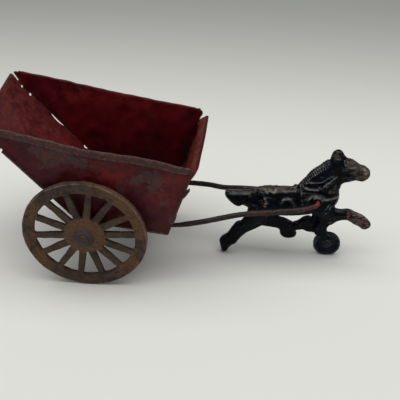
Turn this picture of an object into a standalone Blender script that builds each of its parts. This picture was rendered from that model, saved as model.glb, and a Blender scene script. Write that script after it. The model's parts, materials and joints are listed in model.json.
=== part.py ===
"""Horse-drawn dump cart toy: pressed-steel cart on cast wheels, drawn by a cast-iron horse.

Run with: blender --background --python part.py
Lengths in this file are millimetres and become metres through MM. X points from the cart to the
horse, Y across the toy with the viewer's side negative, Z up from the ground. Profile points are
(x, z) pairs measured forward from the cart axle and up from the ground.
"""
import math

import bmesh
import bpy
from mathutils import Matrix, Vector

MM = 0.001
GAP = 0.35            # air between neighbouring pieces
PROUD = 0.06          # joined shapes stand this far past each other, so no faces coincide
SIDES = (("right", -1.0), ("left", 1.0))

# Ground frame: the axle stands this far behind the middle of the toy's length
AXLE_X = -63.0

# Cart wheels
WHEEL_R = 41.0
RIM_WIDTH = 7.8
RIM_INNER_Y = 42.5
RIM_OUTER_Y = 46.5
RIM_EDGE = 0.8
SPOKES = 14
SPOKE_HUB_W = 4.6
SPOKE_RIM_W = 4.0
SPOKE_ROOT_IN = 1.5
SPOKE_TIP_IN = 1.0
SPOKE_INNER_Y = 43.0
SPOKE_OUTER_Y = 46.0
FLANGE_R = 13.0
BOSS_R = 7.8
BOSS_OUTER_Y = 51.0
BOSS_EDGE = 1.2
NOSE_R = 4.4
NOSE_INNER_Y = 37.5
HUB_RAMP = 0.8
WHEEL_BORE_R = 2.35
WHEEL_STEPS = 48

# Axle
AXLE_R = 2.0
AXLE_HEAD_R = 4.2
AXLE_HEAD_T = 1.7

# Cart box, side view: front lip, front bend, front corner, knee and tail tip of the folded sheet
SHEET_T = 0.8
SHEET_HALF_W = 39.0
SHEET_LINE = ((73.2, 91.0), (68.0, 83.0), (53.6, 39.5), (-5.5, 47.6), (-62.2, 113.6))
SHEET_BENDS = (0.0, 9.0, 1.7, 2.4, 0.0)
FRONT_CORNER_R = 5.0
TAIL_CORNER_R = 2.0
PANEL_INNER_Y = 37.3
PANEL_T = 0.8
PANEL_REAR_TOP = (-61.3, 115.9)
PANEL_FRONT_TOP = (68.4, 91.4)
PANEL_TAIL_FREE_Z = 105.5
PANEL_FRONT_FREE_Z = 84.4
PANEL_REAR_R = 2.5
PANEL_FRONT_R = 4.0
HEM_H = 4.0
HEM_T = 0.8
HEM_REAR_IN = 3.5
HEM_REAR_SLANT = 3.0
HEM_FRONT_IN = 4.2

# Clinch tabs: distance along the tail or front from the lower bend, and half widths
TAIL_TABS = (28.0, 71.5)
FRONT_TABS = (11.5, 34.5)
TAB_HALF_W = 3.3
TAB_FOLD_L = 4.0
TAB_CLEAR = 0.3
NOTCH_OVER = 1.5
DOT_R = 0.75
DOT_REACH = 3.9

# Axle brackets under the cart floor
BRACKET_T = 1.0
BRACKET_INNER_Y = 27.9
BRACKET_OUTER_Y = 37.1
BRACKET_REAR_U = -5.8
BRACKET_FRONT_U = 13.0
EAR_R = 4.8
EAR_BORE_R = 2.35
EAR_IN = 0.5          # the ear is this much narrower than the flange at each end
EAR_DROP = 0.2
RIVET_R = 1.15
RIVET_HEAD_R = 2.1
RIVET_HEAD_T = 0.9
RIVET_PLACES = (("front", 9.2), ("rear", -2.4))
RIVET_Y = 32.0
RIVET_CLEAR = 0.3

# Shafts, a wire each: (x, half spacing, z) from the eye round the axle to the bend at the shoulder
SHAFT_R = 1.45
EYE_Y = 25.6
EYE_R = 3.8
EYE_START_DEG = 20.0
SHAFT_LINE = ((20.0, 25.5, 37.3), (40.0, 25.3, 37.3), (55.6, 25.0, 37.5), (64.9, 24.3, 38.4),
              (75.4, 21.9, 39.4), (87.0, 18.3, 40.4), (101.6, 15.3, 42.3), (123.8, 13.0, 43.9),
              (138.0, 12.4, 46.0))
PIVOT_X = 150.5
PIVOT_Z = 50.4
SHAFT_ELBOW_Y = 12.4
SHAFT_TIP_Y = 4.2
ELBOW_R = 4.0
ELBOW_DROP = 1.6

# Horse
HALF_GAP = 0.16
HORSE_VOXEL = 0.75
HORSE_KEEP = 0.062    # share of the remeshed faces that is kept
LEG_Y = 2.9
LEG_FLATNESS = 0.68
PIVOT_BORE_R = 1.85
PIVOT_BORE_END_Y = 3.5
GUIDE_X = 160.2
GUIDE_R = 9.4
GUIDE_HALF_T = 1.8
GUIDE_BORE_R = 1.5
SLOT_HALF_W = 2.2
SLOT_R = 10.6
PIN_R = 1.15
PIN_BORE_R = 1.5
LUG_OUTER_Y = 4.6
HORSE_RIVETS = ((113.5, 47.5, 8.0), (151.5, 61.0, 7.5))

# Limbs as (x, z, radius) stations, joined into one casting by a remesh
TRUNK = ((104.0, 46.0, 6.8), (112.0, 46.2, 8.2), (124.0, 45.6, 8.0), (136.0, 46.4, 8.4),
         (148.0, 47.5, 9.2), (155.0, 48.5, 9.0))
NECK = ((149.0, 52.0, 10.0), (152.5, 60.0, 10.5), (155.5, 67.0, 9.6), (158.0, 72.0, 7.8))
HEAD = ((159.5, 72.5, 7.4), (166.0, 71.7, 8.2), (173.0, 69.8, 6.4), (178.3, 68.6, 5.2))
TAIL = ((104.0, 48.0, 4.6), (98.0, 46.0, 5.2), (93.5, 45.2, 4.2), (91.2, 47.2, 2.4))
EAR = ((158.8, 79.0, 3.2), (160.4, 84.6, 1.9))
REAR_HIND_LEG = ((110.0, 40.0, 7.6), (105.0, 29.0, 5.4), (99.5, 21.0, 4.4), (94.5, 14.5, 4.2),
                 (92.4, 8.6, 4.7), (89.4, 2.4, 4.9))
LEADING_FORELEG = ((154.0, 43.0, 7.4), (160.0, 38.6, 5.2), (167.0, 37.6, 4.4), (173.0, 37.2, 4.3),
                   (179.0, 33.5, 3.9), (184.9, 29.3, 3.7))
FORWARD_HIND_LEG = ((112.0, 40.0, 7.6), (118.0, 31.0, 6.0), (125.0, 24.5, 4.6), (131.5, 19.8, 4.0),
                    (132.6, 14.8, 4.2))
FOLDED_FORELEG = ((153.0, 42.0, 7.0), (155.5, 33.0, 5.4), (154.0, 26.0, 4.6), (146.0, 25.2, 4.7),
                  (138.0, 21.5, 3.2), (132.5, 19.0, 3.6))
WHEEL_LUG = ((156.0, 34.0, 3.6), (157.5, 22.0, 3.3), (160.2, 9.4, 3.2))


def clear_scene():
    """Remove every object, so the script also runs from a session with a default scene."""
    for obj in list(bpy.data.objects):
        bpy.data.objects.remove(obj, do_unlink=True)


def new_collection(name):
    """Return a fresh collection linked to the scene."""
    collection = bpy.data.collections.new(name)
    bpy.context.scene.collection.children.link(collection)
    return collection


def material(name, colour, roughness, metallic):
    """Return a Principled BSDF material."""
    made = bpy.data.materials.new(name)
    made.use_nodes = True
    shader = made.node_tree.nodes["Principled BSDF"]
    shader.inputs["Base Color"].default_value = (*colour, 1.0)
    shader.inputs["Roughness"].default_value = roughness
    shader.inputs["Metallic"].default_value = metallic
    return made


def add_mesh(name, mesh, collection, finish=None, origin=(0.0, 0.0, 0.0)):
    """Link a mesh as an object whose origin is at a toy-frame point in millimetres."""
    obj = bpy.data.objects.new(name, mesh)
    collection.objects.link(obj)
    obj.location = Vector(origin) * MM
    if finish is not None:
        mesh.materials.clear()
        mesh.materials.append(finish)
    return obj


def weld(mesh, distance=0.000004):
    """Merge points that lie on each other, so seams and caps are closed."""
    work = bmesh.new()
    work.from_mesh(mesh)
    bmesh.ops.remove_doubles(work, verts=work.verts, dist=distance)
    bmesh.ops.dissolve_degenerate(work, edges=work.edges, dist=distance / 4.0)
    work.to_mesh(mesh)
    work.free()


def realise(obj):
    """Turn a curve or a modified object into a plain mesh in world place, welded at its caps."""
    bpy.context.view_layer.update()
    graph = bpy.context.evaluated_depsgraph_get()
    mesh = bpy.data.meshes.new_from_object(obj.evaluated_get(graph))
    mesh.transform(obj.matrix_world)
    work = bmesh.new()
    work.from_mesh(mesh)
    bmesh.ops.remove_doubles(work, verts=work.verts, dist=0.00001)
    bmesh.ops.recalc_face_normals(work, faces=work.faces)
    work.to_mesh(mesh)
    work.free()
    bpy.data.objects.remove(obj, do_unlink=True)
    return mesh


def rounded(points, radii, step_deg=18.0):
    """Return an open or closed outline with each corner of radius above zero turned into an arc."""
    line = []
    count = len(points)
    for index, (point, radius) in enumerate(zip(points, radii)):
        corner = Vector(point)
        if radius <= 0.0:
            line.append(corner)
            continue
        before = (Vector(points[index - 1]) - corner).normalized()
        after = (Vector(points[(index + 1) % count]) - corner).normalized()
        half = before.angle(after) / 2.0
        centre = corner + (before + after).normalized() * (radius / math.sin(half))
        start = corner + before * (radius / math.tan(half)) - centre
        turn = math.pi - 2.0 * half
        steps = max(2, math.ceil(math.degrees(turn) / step_deg))
        sign = 1.0 if before.x * after.y - before.y * after.x < 0.0 else -1.0
        for step in range(steps + 1):
            angle = sign * turn * step / steps
            spun = Vector((start.x * math.cos(angle) - start.y * math.sin(angle),
                           start.x * math.sin(angle) + start.y * math.cos(angle)))
            line.append(centre + spun)
    return line


def offset_line(points, distance):
    """Shift an open line sideways, to the right of its direction, keeping its corners mitred."""
    shifted = []
    for index, point in enumerate(points):
        here = Vector(point)
        ways = []
        if index > 0:
            ways.append((here - Vector(points[index - 1])).normalized())
        if index < len(points) - 1:
            ways.append((Vector(points[index + 1]) - here).normalized())
        normals = [Vector((way.y, -way.x)) for way in ways]
        middle = sum(normals, Vector((0.0, 0.0))).normalized()
        shifted.append(here + middle * (distance / middle.dot(normals[0])))
    return shifted


def plate(outline, y_low, y_high, holes=()):
    """Extrude a closed (x, z) outline from y_low to y_high and return its mesh."""
    curve = bpy.data.curves.new("outline", "CURVE")
    curve.dimensions = "2D"
    curve.fill_mode = "BOTH"
    curve.extrude = (y_high - y_low) / 2.0 * MM
    for loop in (outline, *holes):
        spline = curve.splines.new("POLY")
        spline.points.add(len(loop) - 1)
        for point, (x, z) in zip(spline.points, loop):
            point.co = (x * MM, z * MM, 0.0, 1.0)
        spline.use_cyclic_u = True
    obj = bpy.data.objects.new("outline", curve)
    bpy.context.scene.collection.objects.link(obj)
    obj.rotation_euler.x = math.pi / 2.0
    obj.location.y = (y_high + y_low) / 2.0 * MM
    return realise(obj)


def circle(x, z, radius, steps=24):
    """Return a round (x, z) outline."""
    turns = [2.0 * math.pi * step / steps for step in range(steps)]
    return [(x + radius * math.cos(turn), z + radius * math.sin(turn)) for turn in turns]


def turned(profile, steps=32):
    """Turn a closed (radius, y) profile about the Y axis and return its mesh.

    The profile runs along its outer side from the far end to the near one, so faces point out.
    """
    mesh = bpy.data.meshes.new("profile")
    points = [(radius * MM, 0.0, y * MM) for radius, y in profile]
    count = len(points)
    edges = [(index, index + 1) for index in range(count - 1)]
    if profile[0][0] > 0.0:
        edges.append((count - 1, 0))
    mesh.from_pydata(points, edges, [])
    obj = bpy.data.objects.new("profile", mesh)
    bpy.context.scene.collection.objects.link(obj)
    screw = obj.modifiers.new("Turn", "SCREW")
    screw.angle = 2.0 * math.pi
    screw.steps = screw.render_steps = steps
    screw.use_merge_vertices = True
    screw.merge_threshold = 0.00001
    obj.rotation_euler.x = -math.pi / 2.0
    return realise(obj)


def boolean(obj, cutter_mesh, operation="DIFFERENCE"):
    """Apply an exact Boolean with a mesh in the same place as the object's origin."""
    cutter = bpy.data.objects.new("cutter", cutter_mesh)
    CUTTERS.objects.link(cutter)
    cutter.matrix_world = obj.matrix_world
    modifier = obj.modifiers.new("Boolean", "BOOLEAN")
    modifier.operation = operation
    modifier.solver = "EXACT"
    modifier.object = cutter
    bpy.context.view_layer.update()
    graph = bpy.context.evaluated_depsgraph_get()
    result = bpy.data.meshes.new_from_object(obj.evaluated_get(graph))
    weld(result)
    obj.modifiers.clear()
    old, obj.data = obj.data, result
    bpy.data.meshes.remove(old)
    bpy.data.objects.remove(cutter, do_unlink=True)


def block(x_low, x_high, y_low, y_high, z_low, z_high):
    """Return a box-shaped mesh between two corners in millimetres."""
    work = bmesh.new()
    bmesh.ops.create_cube(work, size=1.0)
    size = Matrix.Diagonal(((x_high - x_low) * MM, (y_high - y_low) * MM, (z_high - z_low) * MM, 1.0))
    centre = Vector((x_high + x_low, y_high + y_low, z_high + z_low)) * (0.5 * MM)
    bmesh.ops.transform(work, matrix=Matrix.Translation(centre) @ size, verts=work.verts)
    mesh = bpy.data.meshes.new("block")
    work.to_mesh(mesh)
    work.free()
    return mesh


def moved(mesh, x=0.0, y=0.0, z=0.0, turn_y=0.0):
    """Turn a mesh about the Y axis, then shift it, and return it."""
    mesh.transform(Matrix.Translation(Vector((x, y, z)) * MM) @ Matrix.Rotation(turn_y, 4, "Y"))
    return mesh


def shade(obj, angle_deg=35.0):
    """Shade smooth, with sharp edges where faces meet steeply."""
    obj.data.shade_smooth()
    obj.data.set_sharp_from_angle(angle=math.radians(angle_deg))


def axle_frame(points):
    """Rebase (x, z) ground points onto the axle centre."""
    return [(x, z - WHEEL_R) for x, z in points]


def add_part(name, mesh, finish, parent, y=0.0):
    """Link one part under a pivot empty, its mesh given about that pivot."""
    obj = add_mesh(name, mesh, TOY, finish)
    obj.parent = parent
    obj.location.y = y * MM
    bpy.context.view_layer.update()
    return obj


def pivot_empty(name, x, z):
    """Return an empty that stands on a joint axis."""
    empty = bpy.data.objects.new(name, None)
    TOY.objects.link(empty)
    empty.location = Vector((AXLE_X + x, 0.0, z)) * MM
    bpy.context.view_layer.update()
    return empty


def sheet_run(start, end, distance):
    """Return the point and unit direction at a distance along the straight from start to end."""
    start, end = Vector(start), Vector(end)
    way = (end - start).normalized()
    return start + way * distance, way


def tab_places():
    """Return (point on the sheet's outer line, direction along it, outward normal) for each tab."""
    places = []
    for distance in FRONT_TABS:
        point, way = sheet_run(SHEET_LINE[2], SHEET_LINE[1], distance)
        places.append(("front", point, way, Vector((way.y, -way.x))))
    for distance in TAIL_TABS:
        point, way = sheet_run(SHEET_LINE[3], SHEET_LINE[4], distance)
        places.append(("tail", point, way, Vector((-way.y, way.x))))
    return places


def slanted(point, way, normal, along_low, along_high, out_low, out_high):
    """Return a four-point (x, z) outline laid along a sheet: along its line and out of it."""
    corners = ((along_low, out_low), (along_high, out_low), (along_high, out_high), (along_low, out_high))
    return axle_frame([tuple(point + way * along + normal * out) for along, out in corners])


def corner_waste(top, side, radius, low_x, high_x):
    """Return a block that rounds off a sheet's upper corner seen from the front."""
    arc = [(side - radius * (1.0 - math.cos(turn)), top - radius * (1.0 - math.sin(turn)))
           for turn in (math.pi / 2.0 * step / 5.0 for step in range(6))]
    outline = [*arc, (side - radius, top + 4.0), (side + 4.0, top + 4.0), (side + 4.0, top - radius)]
    mesh = plate(outline, low_x, high_x)
    mesh.transform(Matrix.Rotation(math.pi / 2.0, 4, "Z"))
    return mesh


def build_folded_sheet(parent):
    """Front, floor and tail of the cart box: one strip folded at the front corner and the knee."""
    line = axle_frame(SHEET_LINE)
    inner = [tuple(point) for point in offset_line(line, SHEET_T)]
    inner_bends = [max(0.0, bend - SHEET_T) for bend in SHEET_BENDS]
    inner_bends[1] = SHEET_BENDS[1] + SHEET_T
    outline = rounded(line, SHEET_BENDS) + rounded(inner, inner_bends)[::-1]
    obj = add_part("folded_sheet", plate(outline, -SHEET_HALF_W, SHEET_HALF_W), RED_PAINT, parent)
    for _, side in SIDES:
        for place, point, way, normal in tab_places():
            reach = TAB_HALF_W + TAB_CLEAR
            notch = slanted(point, way, normal, -reach, reach, -SHEET_T - NOTCH_OVER, NOTCH_OVER)
            ends = sorted((side * (PANEL_INNER_Y - GAP), side * (SHEET_HALF_W + 1.0)))
            boolean(obj, plate(notch, *ends))
            if place == "tail":
                for end in (-1.0, 1.0):
                    boolean(obj, dot_cutter(point + way * (end * DOT_REACH), normal, side))
        for (_, top), corner_r, low_x, high_x in (
                (SHEET_LINE[0], FRONT_CORNER_R, 60.0, 80.0), (SHEET_LINE[4], TAIL_CORNER_R, -70.0, -50.0)):
            waste = corner_waste(top - WHEEL_R + SHEET_T, SHEET_HALF_W, corner_r, -high_x, -low_x)
            if side < 0.0:
                waste.transform(Matrix.Diagonal((1.0, -1.0, 1.0, 1.0)))
                waste.flip_normals()
            boolean(obj, waste)
        for _, along in RIVET_PLACES:
            boolean(obj, rivet_bore(along, side * RIVET_Y))
    shade(obj)
    return obj


def dot_cutter(point, normal, side):
    """Return the round relief hole at the end of a tab slot, square to the sheet."""
    drill = turned([(0.0, 3.0), (DOT_R, 3.0), (DOT_R, -3.0), (0.0, -3.0)], 12)
    centre = Vector((point.x, side * (PANEL_INNER_Y - GAP), point.y - WHEEL_R)) * MM
    axis = Vector((normal.x, 0.0, normal.y))
    drill.transform(Matrix.Translation(centre) @ axis.to_track_quat("Y", "Z").to_matrix().to_4x4())
    return drill


def floor_tilt():
    """Return the floor's forward direction, its upward normal and its distance from the axle."""
    knee, front = (Vector(point) for point in (SHEET_LINE[3], SHEET_LINE[2]))
    way = (front - knee).normalized()
    normal = Vector((-way.y, way.x))
    return way, normal, (knee - Vector((0.0, WHEEL_R))).dot(normal)


def on_floor(mesh):
    """Turn a mesh drawn with its floor direction along X to lie along the real floor."""
    way, _, _ = floor_tilt()
    return moved(mesh, turn_y=math.atan2(-way.y, way.x))


def rivet_bore(along, y):
    """Return a cutter for a bracket rivet, square to the floor."""
    drill = turned([(0.0, 6.0), (RIVET_R + RIVET_CLEAR, 6.0), (RIVET_R + RIVET_CLEAR, -6.0), (0.0, -6.0)], 16)
    drill.transform(Matrix.Rotation(math.pi / 2.0, 4, "X"))
    _, _, lift = floor_tilt()
    return on_floor(moved(drill, x=along, y=y, z=lift))


def tab_edge(place, point, way, normal, reversed_run, sprung):
    """Points of one tab on a panel's edge, in the order that the panel's outline is walked."""
    low, high = -TAB_HALF_W, TAB_HALF_W
    root = -SHEET_T - GAP
    out = GAP + SHEET_T - PROUD
    steps = [(low, root), (low, out), (high, out), (high, root)]
    if sprung:
        steps = [(low, root), (low, 0.0), (low + 1.4, 1.3), (high - 1.0, 2.6), (high + 1.0, 2.0),
                 (high, 0.8), (high, root)]
    points = [tuple(point + way * along + normal * rise) for along, rise in steps]
    return points[::-1] if reversed_run else points


def panel_outline(side):
    """Outline of one side of the cart box in ground (x, z), tabs included, walked front to rear."""
    inset = offset_line(SHEET_LINE, SHEET_T + GAP)
    tail_way = (inset[4] - inset[3]).normalized()
    free = inset[3] + tail_way * ((PANEL_TAIL_FREE_Z - inset[3].y) / tail_way.y)
    front_way = (inset[1] - inset[2]).normalized()
    front_end = inset[2] + front_way * ((PANEL_FRONT_FREE_Z - inset[2].y) / front_way.y)
    tabs = tab_places()
    corners = [PANEL_FRONT_TOP, tuple(front_end)]
    corners += tab_edge(*tabs[1], True, side < 0.0)
    corners += tab_edge(*tabs[0], True, False)
    low_front, low_rear = len(corners), len(corners) + 1
    corners += [tuple(inset[2]), tuple(inset[3])]
    corners += tab_edge(*tabs[2], False, False)
    corners += tab_edge(*tabs[3], False, False)
    corners += [tuple(free), PANEL_REAR_TOP]
    radii = [0.0] * len(corners)
    radii[0], radii[low_front], radii[low_rear], radii[-1] = PANEL_FRONT_R, 0.6, 1.2, PANEL_REAR_R
    return rounded(corners, radii)


def build_side_panel(label, side, parent):
    """One side of the cart box, with its hemmed top edge and the tabs clinched over the sheet."""
    outer = PANEL_INNER_Y + PANEL_T
    faces = sorted((side * PANEL_INNER_Y, side * outer))
    outline = axle_frame([tuple(point) for point in panel_outline(side)])
    obj = add_part(f"side_panel_{label}", plate(outline, *faces), RED_PAINT, parent)
    top_way = (Vector(PANEL_FRONT_TOP) - Vector(PANEL_REAR_TOP)).normalized()
    down = Vector((top_way.y, -top_way.x))
    rear = Vector(PANEL_REAR_TOP) + top_way * HEM_REAR_IN
    front = Vector(PANEL_FRONT_TOP) - top_way * HEM_FRONT_IN
    hem_line = [tuple(end + down * drop) for end, drop in
                ((rear, -PROUD), (front, -PROUD), (front, HEM_H), (rear + top_way * HEM_REAR_SLANT, HEM_H))]
    hem = plate(axle_frame(hem_line), *sorted((side * (outer - PANEL_T / 2.0), side * (outer + HEM_T))))
    boolean(obj, hem, "UNION")
    for index, (_, point, way, normal) in enumerate(tab_places()):
        if index == 1 and side < 0.0:
            continue
        width = TAB_HALF_W + PROUD
        fold = slanted(point, way, normal, -width, width, GAP, GAP + SHEET_T)
        ends = sorted((side * (PANEL_INNER_Y - TAB_FOLD_L), side * (outer + PROUD)))
        boolean(obj, plate(fold, *ends), "UNION")
    shade(obj)
    return obj


def build_bracket(label, side, parent):
    """Bent-sheet bracket riveted under the floor, its ear swinging on the axle."""
    _, _, lift = floor_tilt()
    top = lift - GAP
    rear, front = BRACKET_REAR_U + EAR_IN, BRACKET_FRONT_U - EAR_IN
    shoulder = top - BRACKET_T - EAR_IN
    ear = [(rear, top - EAR_DROP), (front, top - EAR_DROP), (front, shoulder)]
    turns = [math.radians(20.0 - 220.0 * step / 12.0) for step in range(13)]
    ear += [(EAR_R * math.cos(turn), EAR_R * math.sin(turn)) for turn in turns]
    ear.append((rear, shoulder))
    faces = sorted((side * (BRACKET_OUTER_Y - BRACKET_T), side * BRACKET_OUTER_Y))
    mesh = on_floor(plate(ear, *faces, holes=(circle(0.0, 0.0, EAR_BORE_R),)))
    obj = add_part(f"axle_bracket_{label}", mesh, DARK_STEEL, parent)
    ends = sorted((side * BRACKET_INNER_Y, side * (BRACKET_OUTER_Y - 0.1)))
    flange = block(BRACKET_REAR_U, BRACKET_FRONT_U, *ends, top - BRACKET_T, top)
    boolean(obj, on_floor(flange), "UNION")
    for _, along in RIVET_PLACES:
        boolean(obj, rivet_bore(along, side * RIVET_Y))
    shade(obj)
    return obj


def button(head_r, head_t, shank_r, y_near, y_far):
    """Profile of a riveted pin: a domed head beyond each end of a plain shank."""
    rise = [math.pi / 2.0 * step / 3.0 for step in range(4)]
    profile = [(head_r * math.sin(turn), y_far + head_t * math.cos(turn)) for turn in rise]
    profile += [(shank_r, y_far), (shank_r, y_near)]
    profile += [(head_r * math.cos(turn), y_near - head_t * math.sin(turn)) for turn in rise]
    return profile


def build_bracket_rivet(label, side, place, along, parent):
    """One rivet through a bracket's flange and the floor, headed on both faces."""
    _, _, lift = floor_tilt()
    under = lift - GAP - BRACKET_T - RIVET_CLEAR
    over = lift + SHEET_T + RIVET_CLEAR
    rivet = turned(button(RIVET_HEAD_R, RIVET_HEAD_T, RIVET_R, under, over), 12)
    rivet.transform(Matrix.Rotation(math.pi / 2.0, 4, "X"))
    mesh = on_floor(moved(rivet, x=along, y=side * RIVET_Y))
    obj = add_part(f"bracket_rivet_{label}_{place}", mesh, DARK_STEEL, parent)
    shade(obj)
    return obj


def build_axle():
    """Plain rod with both ends peened over outside the wheel hubs."""
    reach = BOSS_OUTER_Y + GAP
    mesh = turned(button(AXLE_HEAD_R, AXLE_HEAD_T, AXLE_R, -reach, reach), 24)
    obj = add_mesh("axle", mesh, TOY, RUSTY_IRON, (AXLE_X, 0.0, WHEEL_R))
    shade(obj)
    return obj


def build_cart_wheel(label, side):
    """Cast spoked wheel: rim, fourteen tapered spokes, hub flange, boss and a nose on the inside."""
    inner_r = WHEEL_R - RIM_WIDTH
    rim = [(WHEEL_R, RIM_OUTER_Y - RIM_EDGE), (WHEEL_R, RIM_INNER_Y + RIM_EDGE),
           (WHEEL_R - RIM_EDGE, RIM_INNER_Y), (inner_r, RIM_INNER_Y), (inner_r, RIM_OUTER_Y),
           (WHEEL_R - RIM_EDGE, RIM_OUTER_Y)]
    hub = [(WHEEL_BORE_R, BOSS_OUTER_Y), (BOSS_R - BOSS_EDGE, BOSS_OUTER_Y),
           (BOSS_R, BOSS_OUTER_Y - BOSS_EDGE), (BOSS_R, RIM_OUTER_Y + HUB_RAMP), (FLANGE_R, RIM_OUTER_Y),
           (FLANGE_R, RIM_INNER_Y), (NOSE_R, RIM_INNER_Y - HUB_RAMP), (NOSE_R, NOSE_INNER_Y),
           (WHEEL_BORE_R, NOSE_INNER_Y)]
    mesh = turned(rim, WHEEL_STEPS)
    name = f"cart_wheel_{label}"
    obj = add_mesh(name, mesh, TOY, RUSTY_IRON, (AXLE_X, 0.0, WHEEL_R))
    boolean(obj, turned(hub, WHEEL_STEPS), "UNION")
    root, tip = FLANGE_R - SPOKE_ROOT_IN, inner_r + SPOKE_TIP_IN
    for index in range(SPOKES):
        outline = [(root, -SPOKE_HUB_W / 2.0), (tip, -SPOKE_RIM_W / 2.0), (tip, SPOKE_RIM_W / 2.0),
                   (root, SPOKE_HUB_W / 2.0)]
        spoke = moved(plate(outline, SPOKE_INNER_Y, SPOKE_OUTER_Y), turn_y=2.0 * math.pi * index / SPOKES)
        boolean(obj, spoke, "UNION")
    if side < 0.0:
        obj.data.transform(Matrix.Diagonal((1.0, -1.0, 1.0, 1.0)))
        obj.data.flip_normals()
    shade(obj)
    return obj


def smooth_stations(stations, spacing):
    """Return points a fixed spacing apart on a Catmull-Rom curve through the stations."""
    points = [Vector(station) for station in stations]
    points = [points[0] * 2.0 - points[1], *points, points[-1] * 2.0 - points[-2]]
    line = []
    for a, b, c, d in zip(points, points[1:], points[2:], points[3:]):
        steps = max(1, round((c - b).length / spacing))
        for step in range(steps):
            t = step / steps
            line.append(0.5 * (2.0 * b + (c - a) * t + (2.0 * a - 5.0 * b + 4.0 * c - d) * t * t
                               + (3.0 * b - a - 3.0 * c + d) * t * t * t))
    line.append(points[-2])
    return line


def build_shaft(label, side):
    """Wire shaft: an eye round the axle, a run under the floor, and a tip bent into the horse."""
    turns = [math.radians(EYE_START_DEG + step * 250.0 / 14.0) for step in range(15)]
    path = [(EYE_R * math.cos(turn), EYE_Y, WHEEL_R + EYE_R * math.sin(turn)) for turn in turns]
    lead = (PIVOT_X - ELBOW_R, SHAFT_ELBOW_Y, PIVOT_Z - ELBOW_DROP)
    path += [tuple(point) for point in smooth_stations([path[-1], *SHAFT_LINE, lead], 6.0)[1:]]
    for step in range(1, 6):
        turn = math.pi / 2.0 * step / 5.0
        path.append((PIVOT_X - ELBOW_R * (1.0 - math.sin(turn)),
                     SHAFT_ELBOW_Y - ELBOW_R * (1.0 - math.cos(turn)),
                     PIVOT_Z - ELBOW_DROP * (1.0 - math.sin(turn))))
    path.append((PIVOT_X, SHAFT_TIP_Y, PIVOT_Z))
    curve = bpy.data.curves.new("wire", "CURVE")
    curve.dimensions = "3D"
    curve.bevel_depth = SHAFT_R * MM
    curve.bevel_resolution = 2
    curve.use_fill_caps = True
    spline = curve.splines.new("POLY")
    spline.points.add(len(path) - 1)
    for point, (x, y, z) in zip(spline.points, path):
        point.co = (x * MM, side * y * MM, (z - WHEEL_R) * MM, 1.0)
    obj = bpy.data.objects.new("wire", curve)
    bpy.context.scene.collection.objects.link(obj)
    shaft = add_mesh(f"shaft_{label}", realise(obj), TOY, SHAFT_PAINT, (AXLE_X, 0.0, WHEEL_R))
    shade(shaft, 50.0)
    return shaft


def limb(work, stations, y, flat):
    """Add overlapping flattened balls along a smooth centre line, for the remesh to join."""
    for x, z, radius in smooth_stations(stations, 2.0):
        place = Matrix.Translation(Vector((x, y, z)) * MM) @ Matrix.Diagonal((1.0, flat, 1.0, 1.0))
        bmesh.ops.create_icosphere(work, subdivisions=2, radius=radius * MM, matrix=place)


def horse_mass(side):
    """Return one half's cast body before it is cut: trunk, neck, head, tail and its own two legs."""
    work = bmesh.new()
    limb(work, TRUNK, 0.0, 0.92)
    limb(work, NECK, 0.0, 0.68)
    limb(work, HEAD, 0.0, 0.56)
    limb(work, TAIL, 0.0, 0.70)
    limb(work, EAR, side * 2.0, 0.80)
    limb(work, WHEEL_LUG, side * LEG_Y, 0.53)
    hind, fore = (REAR_HIND_LEG, LEADING_FORELEG) if side < 0.0 else (FORWARD_HIND_LEG, FOLDED_FORELEG)
    limb(work, hind, side * LEG_Y, LEG_FLATNESS)
    limb(work, fore, side * LEG_Y, LEG_FLATNESS)
    mesh = bpy.data.meshes.new("horse")
    work.to_mesh(mesh)
    work.free()
    obj = bpy.data.objects.new("horse", mesh)
    bpy.context.scene.collection.objects.link(obj)
    remesh = obj.modifiers.new("Fuse", "REMESH")
    remesh.mode = "VOXEL"
    remesh.voxel_size = HORSE_VOXEL * MM
    relax = obj.modifiers.new("Relax", "SMOOTH")
    relax.factor = 0.5
    relax.iterations = 4
    thin = obj.modifiers.new("Thin", "DECIMATE")
    thin.ratio = HORSE_KEEP
    thin.use_collapse_triangulate = True
    return realise(obj)


def build_horse_half(label, side, parent):
    """Cast half of the horse, flat on its inner face, bored for shaft tip, rivets and wheel pin."""
    mesh = moved(horse_mass(side), x=-PIVOT_X, z=-PIVOT_Z)
    obj = add_part(f"horse_half_{label}", mesh, BLACK_PAINT, parent)
    far = sorted((-side * 30.0, side * HALF_GAP))
    boolean(obj, block(-90.0, 60.0, *far, -60.0, 60.0))
    boolean(obj, block(-90.0, 60.0, -30.0, 30.0, -PIVOT_Z - 20.0, -PIVOT_Z))
    bores = [(GUIDE_X, GUIDE_R, PIN_BORE_R, -20.0, 20.0)]
    bores += [(x, z, PIN_BORE_R, -20.0, 20.0) for x, z, _ in HORSE_RIVETS]
    bores.append((PIVOT_X, PIVOT_Z, PIVOT_BORE_R, *sorted((side * PIVOT_BORE_END_Y, side * 20.0))))
    for x, z, radius, y_low, y_high in bores:
        drill = turned([(0.0, y_high), (radius, y_high), (radius, y_low), (0.0, y_low)], 20)
        boolean(obj, moved(drill, x=x - PIVOT_X, z=z - PIVOT_Z))
    slot = plate(circle(0.0, 0.0, SLOT_R, 36), -SLOT_HALF_W, SLOT_HALF_W)
    boolean(obj, moved(slot, x=GUIDE_X - PIVOT_X, z=GUIDE_R - PIVOT_Z))
    shade(obj, 45.0)
    return obj


def build_horse_rivet(label, place, parent):
    """Rivet through both halves of the horse."""
    x, z, reach = place
    mesh = turned(button(2.0, 0.8, PIN_R, -reach, reach), 12)
    obj = add_part(f"horse_rivet_{label}", moved(mesh, x=x - PIVOT_X, z=z - PIVOT_Z), BLACK_PAINT, parent)
    shade(obj)
    return obj


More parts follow.
